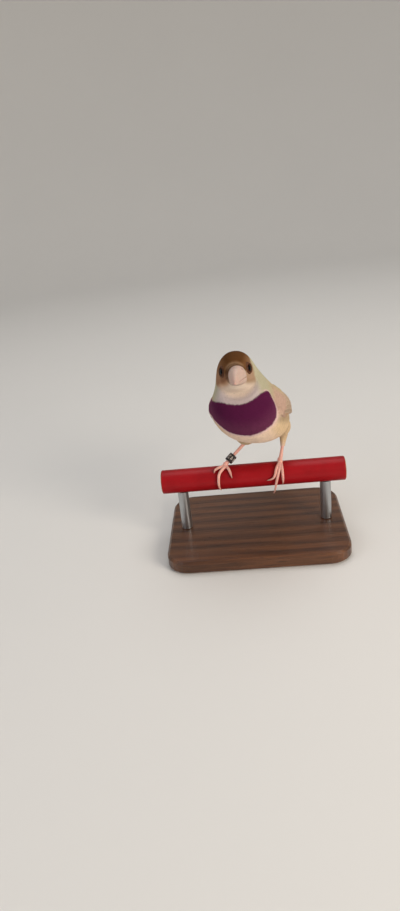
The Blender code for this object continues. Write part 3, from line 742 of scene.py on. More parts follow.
    def steps_for(self, station: Array, angle: Array, move: Array) -> Pair:
        """Small moves over the skin as stations and radians.

        Formula: the move's parts along both tangents, solved with the tangents' dot products.

        Args:
            station: Stations.
            angle: Angles.
            move: Millimetres, places by 3.

        Returns:
            The changes of both.
        """
        along, around = self.tangents(station, angle)
        e, f, g = dot(along, along), dot(along, around), dot(around, around)
        p, q = dot(move, along), dot(move, around)
        spread = np.maximum(e * g - f * f, 1e-6)
        return (g * p - f * q) / spread, (e * q - f * p) / spread

    def unwrap(self, station: Array, angle: Array) -> Array:
        """A place on the flat unwrap of the skin: the turn round it and the way along it."""
        around = np.mod(angle / FULL_TURN + 0.5, 1)
        return np.stack([around, station / (len(self.sections) - 1)], axis=-1)


@dataclass(frozen=True)
class EyePlace:
    """Where an eye sits on the head's skin, in stations, degrees and millimetres."""

    form: BodyForm
    side: Side
    station: float = 1.65
    degrees: float = 70
    radius: float = 2.35
    depth: float = 1.9

    @property
    def place(self) -> tuple[float, float]:
        """The station and the angle that the eye looks out of."""
        return self.station, self.side.value * math.radians(self.degrees)

    @property
    def look(self) -> Array:
        """The way that the eye looks."""
        return self.form.normal(*self.place)

    @property
    def skin(self) -> Array:
        """The point of the skin that the eye looks out of."""
        return self.form.point(*self.place)

    @property
    def centre(self) -> Array:
        """The eyeball's centre."""
        return self.skin - self.look * self.depth

    @property
    def axes(self) -> tuple[Array, Array, Array]:
        """The eye's own axes.

        Returns:
            The ways sideways, upwards and outwards.
        """
        look = self.look
        up = unit(np.array(UPRIGHT[2]) - look * look[2])
        return np.cross(up, look), up, look


@dataclass(frozen=True)
class WingPlan:
    """The folded wing's ground on the skin: its back edge and its lower edge from wrist to tip.

    Each row is the station and degrees of the back edge, then of the lower edge.
    """

    form: BodyForm
    edges: tuple = (
        (8.5, 62, 8.6, 103),
        (8.9, 44, 9.1, 102),
        (9.7, 33, 10, 94),
        (10.7, 25, 11, 89),
        (11.9, 18, 12.2, 88),
        (13.2, 14, 13.5, 87),
        (14.5, 12, 14.8, 85),
        (15.8, 13, 15.9, 80),
        (16.8, 17, 16.9, 73),
        (17.6, 26, 17.6, 64),
        (18.2, 38, 18.2, 56),
    )
    wrist: float = 8.6
    slope: float = 0.1
    table_starts: tuple[float, float] = (5, -10)
    table_steps: tuple[float, float] = (0.1, 1)
    table_last: int = 150
    even_out: tuple[int, int] = (7, 13)

    def place(self, u: Array, v: Array, side: Side) -> Pair:
        """Where a place on the wing lies on the skin.

        Args:
            u: The way from wrist to tip.
            v: The way from back to lower edge.
            side: The wing's side.

        Returns:
            Stations and angles.
        """
        edge = curve_through(self.edges, u * (len(self.edges) - 1))
        station = edge[..., 0] + (edge[..., 2] - edge[..., 0]) * v
        angle = np.radians(edge[..., 1] + (edge[..., 3] - edge[..., 1]) * v)
        return station, side.value * angle

    def whereabouts(self, station: Array, angle: Array) -> Pair:
        """The wing's u and v over places on the skin.

        Args:
            station: Stations.
            angle: Angles.

        Returns:
            Both ways, which pass 0 and 1 beside the wing.
        """
        table = np.array(self.edges)
        middle, ways = (table[:, 0] + table[:, 2]) / 2, np.linspace(0, 1, len(table))
        u = np.interp(station, middle, ways, right=1.2)
        u = np.where(station < self.wrist, (station - self.wrist) * self.slope, u)
        edge = curve_through(self.edges, np.clip(u, 0, 1) * (len(self.edges) - 1))
        degrees = np.degrees(np.abs(angle))
        return u, (degrees - edge[..., 1]) / (edge[..., 3] - edge[..., 1])

    def rise(self, u: Array, v: Array) -> Array:
        """The share of its full height that the wing has.

        Formula: an S-shaped rise backwards from the wrist times one down from the back edge, which fades
        near the tip.

        Args:
            u: The way from wrist to tip.
            v: The way from back to lower edge.

        Returns:
            Shares.
        """
        front = 0.25 + 0.75 * ramp(0.04, 0.52, u)
        back = 0.3 + 0.7 * ramp(0.05, 0.75, v)
        return front * (back + (1 - back) * ramp(0.62, 0.94, u))

    def cover(self, station: Array, angle: Array) -> Array:
        """How much of the ground round a place lies under the wing.

        Formula: the wing's ground on a table of stations and degrees, evened out twice by running means and
        read between its cells.

        Args:
            station: Stations.
            angle: Angles.

        Returns:
            Shares.
        """
        last = self.table_last
        starts_steps = list(zip(self.table_starts, self.table_steps))
        s, d = crossed(*(np.linspace(start, start + step * last, last + 1) for start, step in starts_steps))
        u, v = self.whereabouts(s, np.radians(d))
        table = ((u > 0) & (u < 0.95) & (v > 0) & (v < 1)).astype(float)
        for axis, width in [*enumerate(self.even_out)] * 2:
            table = np.apply_along_axis(np.convolve, axis, table, np.ones(width) / width, "same")
        i, j = (
            np.clip((value - start) / step, 0, last - 1)
            for value, (start, step) in zip((station, np.degrees(np.abs(angle))), starts_steps)
        )
        low_i, low_j = i.astype(int), j.astype(int)
        di, dj = i - low_i, j - low_j
        near = table[low_i, low_j] * (1 - dj) + table[low_i, low_j + 1] * dj
        far = table[low_i + 1, low_j] * (1 - dj) + table[low_i + 1, low_j + 1] * dj
        return near * (1 - di) + far * di


@dataclass(frozen=True)
class Markings:
    """The pale cock's colours, over places on its skin.

    The breast patch lies between two edges, given as stations at steps from its side corner to the belly, on
    the left and then on the right.
    """

    crown: str = "5a391d"
    brow: str = "6e4a2d"
    forehead: str = "86674c"
    cheek: str = "845d44"
    # Painted light: the cheek's colour on the bird's left side, which faces the key lamp.
    cheek_lit_side: str = "a98a72"
    ear: str = "b18b6d"
    # Painted shade: the ear's colour on the bird's right side, away from the key lamp.
    ear_shaded_side: str = "9c8064"
    chin: str = "dcc8b6"
    collar: str = "c5b6b3"
    nape: str = "b4ad91"
    breast: str = "53193d"
    breast_low: str = "622e49"
    rim: str = "dcbcb8"
    shoulder: str = "ba9a88"
    back: str = "b7a581"
    rump: str = "bdae90"
    belly: str = "dcc0a9"
    # Painted light: a paler colour for the belly's underside.
    underside_painted_light: str = "ecd1ba"
    flank: str = "d2b793"
    vent: str = "e4d0ba"
    tail_root: str = "b39b81"
    wing_line: tuple = ((8, 8.6, 9.1, 10, 11, 12.2, 14.8, 17), (113, 109, 103, 95, 91, 89, 86, 84))
    under_wing_shade: float = 0.38
    patch_turn: float = 5
    patch_starts: tuple = (93, 74)
    patch_lean: float = 0.12
    patch_round: float = 0.6
    patch_top: tuple = ((7.16, 6.72, 6.34, 5.87, 5.57, 5.47, 5.45), (7.75, 7.42, 6.97, 6.33, 5.7, 5.43, 5.45))
    patch_low: tuple = ((7.16, 7.8, 8.37, 8.68, 8.77, 8.8, 8.86), (7.75, 7.98, 8.18, 8.22, 8.17, 8.53, 8.86))

    def patch(self, station: Array, angle: Array) -> Array:
        """How far inside the breast patch a place lies: the nearer of its two edges.

        Formula: a power of the way from side corner to belly numbers the edges' steps, and beyond the
        corner the result falls with the angle.

        Args:
            station: Stations.
            angle: Angles.

        Returns:
            Stations inside, or less than 0 outside.
        """
        turned = angle + math.radians(self.patch_turn)
        degrees = np.degrees(np.abs(np.arctan2(np.sin(turned), np.cos(turned))))
        along = station + self.patch_lean * (station - 4.5) * np.sin(turned)
        is_left = np.sin(turned) > 0
        start = np.where(is_left, *self.patch_starts)
        share = np.maximum(degrees - start, 0) / (180 - start)
        step = share**self.patch_round * (len(self.patch_top[0]) - 1)
        top, low = (
            np.where(is_left, *(curve_through(edge, step)[..., 0] for edge in edges))
            for edges in (self.patch_top, self.patch_low)
        )
        return np.minimum(along - top, low - along) - 0.07 * np.maximum(start - degrees, 0)

    def colour(self, station: Array, angle: Array) -> Array:
        """The plumage's colour at places on the skin.

        Formula: the ground goes from back to belly, and the other fields are laid over it by S-shaped rises
        at their edges.

        Args:
            station: Stations.
            angle: Angles.

        Returns:
            Linear colours.
        """
        q = np.degrees(np.abs(angle))
        left = np.sin(angle)
        ripple = 0.05 * np.sin(angle * 23 + station * 5) + 0.04 * np.sin(angle * 41 - station * 9)
        body = blend(self.back, self.shoulder, ramp(48, 74, q) * ramp(6.9, 8, station))
        line = np.interp(station, *self.wing_line)
        body = blend(body, self.belly, ramp(-9, 5, q - line + 12 * ripple))
        yellow = ramp(8.3, 9.2, station) * ramp(-6, 6, q - line) * (1 - ramp(124, 158, q))
        body = blend(body, self.flank, yellow * (1 - ramp(13, 15, station)))
        # Painted shadow: a band of the flank just below the wing's lower edge is darkened by under_wing_shade.
        tucked = np.exp(-(((q - line - 5.5) / 10) ** 2)) * ramp(8.2, 8.9, station)
        body = body * (1 - self.under_wing_shade * tucked * (1 - ramp(15, 17, station)))[..., None]
        body = blend(body, self.rump, ramp(14.2, 16.4, station) * (1 - ramp(60, 90, q)))
        # Painted light: the belly's underside is made paler, standing in for light thrown up from below.
        body = blend(body, self.underside_painted_light, ramp(7.8, 8.6, station) * ramp(132, 166, q))
        body = blend(body, self.vent, ramp(12.5, 15.5, station) * ramp(96, 130, q))
        body = blend(body, self.tail_root, ramp(17, 19.2, station) * (1 - ramp(80, 110, q)))
        neck = blend(self.nape, self.collar, ramp(92, 132, q))
        body = blend(body, neck, 1 - ramp(6.4, 7.9, station + ripple))
        height = ramp(34, 74, q + 6 * left)
        hood = blend(self.crown, self.brow, ramp(26, 50, q))
        hood = blend(hood, self.forehead, (1 - ramp(0.3, 1.15, station)) * (1 - ramp(38, 66, q)))
        # Painted light and shade: the cheek is paler on the bird's left, towards the key lamp, and darker on
        # its right.
        cheek = blend(self.cheek, self.cheek_lit_side, ramp(-0.2, 0.9, left))
        hood = blend(hood, cheek, ramp(66, 88, q))
        # Painted light and shade: the ear is lighter on the bird's left and darker on its right.
        ear = blend(self.ear, self.ear_shaded_side, ramp(-0.9, 0.9, left))
        hood = blend(hood, ear, ramp(98, 120, q) + 0.4 * height * ramp(1.4, 2.6, station))
        hood = blend(hood, self.chin, ramp(116, 150, q + 5 * station))
        beside_eye = ramp(30, 65, q) * (1 - ramp(90, 118, q))
        edge = 3.6 - 0.95 * left * beside_eye + 0.7 * (1 - ramp(20, 60, q))
        edge = edge + 0.5 * ramp(120, 180, q)
        soft = ramp(100, 150, q)
        behind = (station - edge + 0.6 * ripple + 0.35 + 0.35 * soft) / (0.9 + 0.8 * soft)
        body = blend(body, hood, 1 - ramp(0, 1, behind))
        inside = self.patch(station, angle) + 0.2 * ripple
        low = ramp(7.6, 8.4, station + 2.5 * (1 - ramp(96, 112, q)) * (angle > 0))
        body = blend(body, self.rim, ramp(-0.26, -0.06, inside) * low)
        purple = blend(self.breast, self.breast_low, ramp(6.9, 8.4, station))
        return blend(body, purple, ramp(-0.035, 0.035, inside))


@dataclass
class VaneForm:
    """The net of one small feather: a cambered top, closed underneath from rim to rim."""

    rows: int
    cols: int

    def __post_init__(self) -> None:
        """Numbers the faces and lays out the map's places."""
        rows, cols = self.rows, self.cols
        last, tip = cols - 1, (rows - 1) * cols
        i, j = crossed_flat(rows - 1, last)
        top = np.stack([i * cols + j, (i + 1) * cols + j, (i + 1) * cols + j + 1, i * cols + j + 1], axis=1)
        k, m = np.arange(rows - 1), np.arange(1, last)
        under = np.stack([k * cols, k * cols + last, (k + 1) * cols + last, (k + 1) * cols], axis=1)
        root_fan = np.stack([np.zeros_like(m), m, m + 1], axis=1)
        tip_fan = np.stack([np.full_like(m, tip), tip + m + 1, tip + m], axis=1)
        self.faces = np.concatenate([top, under]), np.concatenate([root_fan, tip_fan])
        self.along = np.linspace(0, 1, rows) ** 0.9
        self.across = np.linspace(-1, 1, cols)
        t, e = crossed(self.along, self.across)
        self.map = np.stack([e / 2 + 0.5, t], axis=-1).reshape(-1, 2)


@dataclass
class VaneSet:
    """Many small feathers of one form, with their sizes as arrays, one value for each feather."""

    form: VaneForm
    length: Array
    half: Array
    depth: Array
    lift: Array
    seed: int
    camber: float = 0.16
    droop: float = 0.32
    hollow_share: float = 0.12

    def spread(self) -> tuple[Array, Array, Array]:
        """How far each point lies along its feather, across it and over the skin.

        Formula: the way along is the length times the share t, shorter at the sides; the way across swells
        from the root as a sine; the height goes from the root's depth to the tip's lift, less the square of
        the way across.

        Returns:
            Three arrays of feathers by rows by columns.
        """
        draw = np.random.default_rng(self.seed)
        count = len(self.length)
        t, e = self.form.along[None, :, None], self.form.across[None, None, :]
        sizes = (self.length, self.half, self.depth, self.lift)
        length, half, depth, lift = (size[:, None, None] for size in sizes)
        ragged = draw.uniform(-0.05, 0.05, (count, 1, self.form.cols)) * (t > 0.99)
        bend = draw.normal(0, 0.1, (count, 1, 1))
        along = length * (t * (1 - self.droop * np.abs(e) ** 2.4 * t**1.5) + ragged)
        across = half * (e * (0.42 + 0.58 * sine_rise(0.5, t)) + bend * t**2)
        height = -depth * (1 - t) ** 1.15 + lift * t**2
        height = height - self.camber * half * e**2 * (0.35 + 0.65 * t)
        return np.broadcast_to(along, across.shape), across, np.broadcast_to(height, across.shape)

    def lie(self, roots: Array, ahead: Array, aside: Array) -> tuple[Array, Array, Array]:
        """Where the feathers' points lie.

        Args:
            roots: Stations and angles.
            ahead: Their change with a millimetre along.
            aside: Their change with one across.

        Returns:
            Stations, angles and heights.
        """
        run, wide, height = self.spread()
        s, a = (
            root[:, None, None] + run * step[:, None, None] + wide * side[:, None, None]
            for root, step, side in zip(roots, ahead, aside)
        )
        return s, a, height

    def hollow(self, points: Array) -> Array:
        """Which feathers would lie with their middle under their rims.

        Formula: the sum of the triple products of the faces' corners.

        Args:
            points: Feathers by rows by columns by 3.

        Returns:
            Truth values.
        """
        flat = points.reshape(len(points), -1, 3)
        flat = flat - flat[:, :1]
        quads, tris = self.form.faces
        a, b, c = (flat[:, corner] for corner in np.concatenate([tris, quads[:, :3], quads[:, [0, 2, 3]]]).T)
        return dot(np.cross(a, b), c).sum(axis=1) < self.length * self.half**2 * self.hollow_share

    def add_to(self, shape: Shape, points: Array, colours: Array, roots: Array) -> None:
        """Adds the feathers to a shape.

        Args:
            shape: The shape.
            points: Feathers by rows by columns by 3.
            colours: Linear colours, likewise.
            roots: The roots' places on the unwrap.
        """
        draw = np.random.default_rng(self.seed + 1)
        count, each = len(points), self.form.rows * self.form.cols
        tone = draw.uniform(0, 1, (count, 1, 1, 1))
        tints = np.concatenate([colours, np.broadcast_to(tone, (*colours.shape[:3], 1))], axis=-1)
        start = (np.arange(count) * each)[:, None, None]
        local = self.form.map
        patch = (0.004 + 0.992 * roots)[:, None] + BAKE_PATCH * (local - 0.5)
        faces = [(start + net).reshape(-1, net.shape[1]) for net in self.form.faces]
        maps = [
            {"vane": np.tile(local[net], (count, 1, 1)), "OFBake": patch[:, net].reshape(-1, net.shape[1], 2)}
            for net in self.form.faces
        ]
        shape.add(points, faces, maps, tints.reshape(-1, 4))


@dataclass
class Thigh:
    """The feathered thigh from the heel up into the body, as a tapered round form."""

    name: str
    heel: tuple
    knee: tuple
    radius: float = 5.4
    start_gap: float = 1.48
    coat: float = 0.42
    widths: tuple = (0.22, 0.5, 0.86, 1, 0.95)

    def width(self, share: Array) -> Array:
        """The radius at a share of the way up."""
        return self.radius * np.interp(share, (0, 0.15, 0.4, 0.7, 1), self.widths)

    def surface(self, share: Array, turn: Array, height: Array) -> Array:
        """Points over the thigh.

        Formula: the place on the axis, plus radius and height times the turn's cosine and sine along two
        directions square to it.

        Args:
            share: The way up from heel to knee.
            turn: Radians round.
            height: Millimetres over the surface.

        Returns:
            Points by 3.
        """
        heel, knee = np.array(self.heel), np.array(self.knee)
        up = unit(knee - heel)
        start = heel + up * self.start_gap
        first = unit(np.cross(UPRIGHT[2], up))
        second = np.cross(up, first)
        around = np.cos(turn)[..., None] * first + np.sin(turn)[..., None] * second
        reach = (self.width(share) + height)[..., None]
        return start + share[..., None] * (knee - start) + reach * around

    def length(self) -> float:
        """Millimetres from the heel's end to the knee."""
        return math.dist(self.heel, self.knee) - self.start_gap

    def flesh(self, tint: Array) -> Object:
        """The thigh's flesh, a closed tube that runs into the body."""
        share, turn = crossed(np.linspace(0, 1, 24), turns(40))
        return Shape().grid(self.surface(share, turn, np.full_like(share, -self.coat)), tint).build("flesh")


@dataclass
class Plumage:
    """The skin of head, neck, body and thighs, and the small feathers that cover it."""

    form: BodyForm
    markings: Markings
    wing: WingPlan
    eyes: tuple
    seed: int = 7
    tries: int = 90000
    spacing_stations: tuple = (0, 0.8, 2, 3.5, 5, 6.5, 8.5, 11, 14, 16.5, 18.6)
    spacing: tuple = (0.3, 0.33, 0.37, 0.43, 0.52, 0.64, 0.8, 0.92, 0.95, 0.82, 0.66)
    long_by: float = 3.7
    wide_by: float = 1.25
    depth_by: float = 0.13
    end_station: float = 18.8
    skin_end: float = 18.9
    skin_depth: float = 0.85
    eye_clear: float = 1.95
    eye_gap: float = 0.12
    stream_radius: float = 1.9
    scapular_rise: float = 1.75
    fill_hollow: float = 2.2
    head_end: float = 4.2
    neck_end: float = 6.9
    breast_end: float = 10.4
    side_degrees: float = 84

    def gap_between(self, station: Array) -> Array:
        """The distance between neighbouring roots, in millimetres: smallest on the face."""
        near_bill = 1 - 0.12 * (1 - ramp(0.5, 2.5, station))
        return np.interp(station, self.spacing_stations, self.spacing) * near_bill

    def roots(self) -> Pair:
        """Scattered root places, each at least the local distance from the others.

        Formula: places are drawn with a chance in proportion to the area over the distance squared; each
        that is free is kept and clears those near it.

        Returns:
            Stations and angles.
        """
        draw = np.random.default_rng(self.seed)
        cells_s = np.linspace(0.02, self.end_station, 240)
        cells_a = np.linspace(-math.pi, math.pi, 241)[:-1] + math.pi / 240
        s, a = crossed(cells_s, cells_a)
        along, around = self.form.tangents(s, a)
        area = np.linalg.norm(np.cross(along, around), axis=-1)
        chance = (area / self.gap_between(s) ** 2).ravel()
        picked = draw.choice(chance.size, self.tries, p=chance / chance.sum())
        station, angle = (
            table.ravel()[picked] + draw.uniform(-0.5, 0.5, self.tries) * (cells[1] - cells[0])
            for table, cells in ((s, cells_s), (a, cells_a))
        )
        station = np.clip(station, 0.02, self.end_station)
        places = self.form.point(station, angle).tolist()
        tree = KDTree(self.tries)
        for number, place in enumerate(places):
            tree.insert(place, number)
        tree.balance()
        free = np.ones(self.tries, bool)
        kept = []
        for number, (place, radius) in enumerate(zip(places, self.gap_between(station).tolist())):
            if not free[number]:
                continue
            kept.append(number)
            for _, other, _ in tree.find_range(place, radius):
                free[other] = False
        return station[kept], angle[kept]

    def flow(self, station: Array, angle: Array) -> Pair:
        """Which way the feathers point, and the way across them.

        Formula: the direction to the tail, turned aside at each eye as a stream parts round a post.

        Args:
            station: Stations.
            angle: Angles.

        Returns:
            Unit directions.
        """
        along, around = self.form.tangents(station, angle)
        normal = unit(np.cross(around, along))
        forward = unit(along)
        across = np.cross(normal, forward)
        place = self.form.point(station, angle)
        for eye in self.eyes:
            base = unit(self.form.tangents(*eye.place)[0])
            away = place - eye.skin
            x, y = away @ base, away @ np.cross(eye.look, base)
            square = np.maximum(x * x + y * y, self.stream_radius**2)
            pull = self.stream_radius**2 / square**2 * (away @ eye.look > -6)
            slowed = forward * ((x * x - y * y) * pull)[:, None]
            forward = unit(forward + across * (-2 * x * y * pull)[:, None] - slowed)
            across = np.cross(normal, forward)
        return forward, across

    def skin(self, thighs: Sequence[Thigh], finish: Material) -> Object:
        """One skin for head, neck, body and thighs, with sockets for the eyes.

        Formula: the body's surface, lowered by the coat's depth.

        Args:
            thighs: The thighs.
            finish: The material.

        Returns:
            The skin.
        """
        station, angle = crossed(np.linspace(0, self.skin_end, 250), turns(220) - math.pi)
        inset = -self.skin_depth * self.depth_by * self.long_by * self.gap_between(station)
        colour = self.markings.colour(station, angle)
        tint = np.concatenate([colour, np.full((*station.shape, 1), 0.5)], axis=-1)
        skin = Shape().grid(self.form.over(station, angle, inset), tint).build("skin")
        vent = (*linear(self.markings.belly), 0.5)
        combine(skin, [thigh.flesh(vent) for thigh in thighs], "UNION")
        balls = [ball(eye.centre, eye.radius + self.eye_gap, 24, 40, eye.axes) for eye in self.eyes]
        combine(skin, [Shape().grid(grid).build("socket") for grid in balls], "DIFFERENCE", finish)
        return skin

    def climb(self, station: Array, angle: Array) -> Array:
        """How high the coat rises over the wing's edges.

        Args:
            station: Stations.
            angle: Angles.

        Returns:
            Millimetres.
        """
        u, v = self.wing.whereabouts(station, angle)
        fades = 1 - ramp(0.55, 0.8, u)
        below = 1 - ramp(0.78, 0.95, v) * ramp(0.06, 0.14, u)
        height = self.scapular_rise * self.wing.rise(u, v) + 0.28
        return height * ramp(0.03, 0.5, self.wing.cover(station, angle)) * fades * below

    def clear_of_eyes(self, points: Array) -> Array:
        """Which feathers leave the eyes free.

        Args:
            points: Feathers by rows by columns by 3.

        Returns:
            Truth values.
        """
        clear = np.ones(len(points), bool)
        for eye in self.eyes:
            away = points - eye.centre
            out = away @ eye.look
            radial = np.linalg.norm(away - out[..., None] * eye.look, axis=-1)
            clear &= ~((radial < self.eye_clear) & (out > 0)).any(axis=(1, 2))
        return clear

    def lay(self, shape_of: Callable[[str], Shape]) -> None:
        """Lays the feathers of head, neck and body.

        Args:
            shape_of: Gives a tract's shape by its name.
        """
        station, angle = self.roots()
        u, v = self.wing.whereabouts(station, angle)
        under_wing = (u > 0.09) & (u < 0.93) & (v > 0.13) & (v < 0.95)
        station, angle, u, v = (values[~under_wing] for values in (station, angle, u, v))
        draw = np.random.default_rng(self.seed + 3)
        count = len(station)
        gap = self.gap_between(station)
        shoulder = ramp(-0.25, -0.05, v) * (u > -0.02) * (u < 0.45) * (v < 0.3)
        root = ramp(16.4, 18.4, station)
        long = gap * self.long_by * draw.uniform(0.9, 1.12, count) * (1 + 0.7 * shoulder + 1.3 * root)
        half = gap * self.wide_by * draw.uniform(0.92, 1.08, count) * (1 + 0.35 * shoulder + 0.5 * root)
        forward, across = self.flow(station, angle)
        yaw = draw.normal(0, 0.07, count)[:, None]
        heading = forward * np.cos(yaw) + across * np.sin(yaw)
        beside = across * np.cos(yaw) - forward * np.sin(yaw)
        places = np.array((station, angle))
        ahead = np.array(self.form.steps_for(station, angle, heading))
        aside = np.array(self.form.steps_for(station, angle, beside))
        lift = draw.uniform(-0.03, 0.05, count) * gap
        is_side = np.degrees(np.abs(angle)) >= self.side_degrees
        past_head, past_neck, past_breast = (
            station >= end for end in (self.head_end, self.neck_end, self.breast_end)
        )
        tracts = {
            "coat_head": ~past_head,
            "coat_neck": past_head & ~past_neck,
            "coat_breast": past_neck & ~past_breast & is_side,
            "coat_belly": past_breast & is_side,
            "coat_back": past_neck & ~is_side,
        }
        for number, (name, chosen) in enumerate(tracts.items()):
            form = VaneForm(5, 5) if name == "coat_head" else VaneForm(6, 7)
            picks = np.flatnonzero(chosen)
            sizes = long[picks], half[picks], self.depth_by * long[picks], lift[picks]
            sets = VaneSet(form, *sizes, self.seed + 10 + number)
            s, a, height = sets.lie(*(values[:, picks] for values in (places, ahead, aside)))
            s = np.clip(s, 0, 20)
            ground = self.climb(s, a)
            hollow = sets.hollow(self.form.over(s, a, height + ground))
            deeper = hollow[:, None, None] * self.fill_hollow * sets.camber * sets.half[:, None, None]
            points = self.form.over(s, a, height + ground - deeper * form.across**2)
            keep = np.flatnonzero(self.clear_of_eyes(points))
            roots = self.form.unwrap(*places[:, picks[keep]])
            sets.add_to(shape_of(name), points[keep], self.markings.colour(s[keep], a[keep]), roots)

    def trousers(self, thigh: Thigh, skin: BVHTree) -> Shape:
        """The short loose feathers of one thigh.

        Args:
            thigh: The thigh.
            skin: The joined skin, which tells which roots lie inside.

        Returns:
            Its feathers.
        """
        draw = np.random.default_rng(self.seed + 50 + len(thigh.name))
        rows, around = 26, round(8 + 4.8 * thigh.radius)
        row, column = crossed_flat(rows, around)
        share = 0.02 + 0.98 * (row + draw.uniform(-0.3, 0.3, row.size)) / rows
        turn = (column + 0.5 * (row % 2) + draw.uniform(-0.25, 0.25, row.size)) * FULL_TURN / around
        root = thigh.surface(share, turn, np.full(row.size, -thigh.coat))
        outside = []
        lifted = (root + (0, 0, PERCH_HEIGHT)) * MM
        for place, spot in zip(root.tolist(), lifted.tolist()):
            near, normal, _, _ = skin.find_nearest(Vector(spot))
            gap = Vector(place) + Vector((0, 0, PERCH_HEIGHT)) - near / MM
            outside.append(gap.dot(normal) > -0.15)
        share, turn = share[outside], turn[outside]
        slim = np.interp(share, (0, 0.3, 1), (0.55, 0.85, 1))
        count = len(share)
        long = 2.7 * slim * draw.uniform(0.85, 1.1, count)
        sizes = long, 0.72 * slim, np.full(count, thigh.coat), np.full(count, 0.02)
        sets = VaneSet(VaneForm(6, 5), *sizes, self.seed + 60 + len(thigh.name))
        run, wide, height = sets.spread()
        s = np.maximum(share[:, None, None] - run / thigh.length(), -0.13)
        a = turn[:, None, None] + wide / thigh.width(share)[:, None, None]
        points = thigh.surface(s, a, height)
        flank = ramp(0.1, 0.6, share)[:, None, None]
        ground = blend(self.markings.belly, self.markings.flank, flank)
        # Painted shade: the thigh feathers nearer the body are darkened a little.
        ground = ground * (1 - 0.1 * ramp(0.45, 0.9, share))[:, None, None, None]
        colours = np.broadcast_to(ground, points.shape)
        shape = Shape()
        sets.add_to(shape, points, colours, np.stack([np.mod(turn / FULL_TURN, 1), share], axis=-1))
        return shape


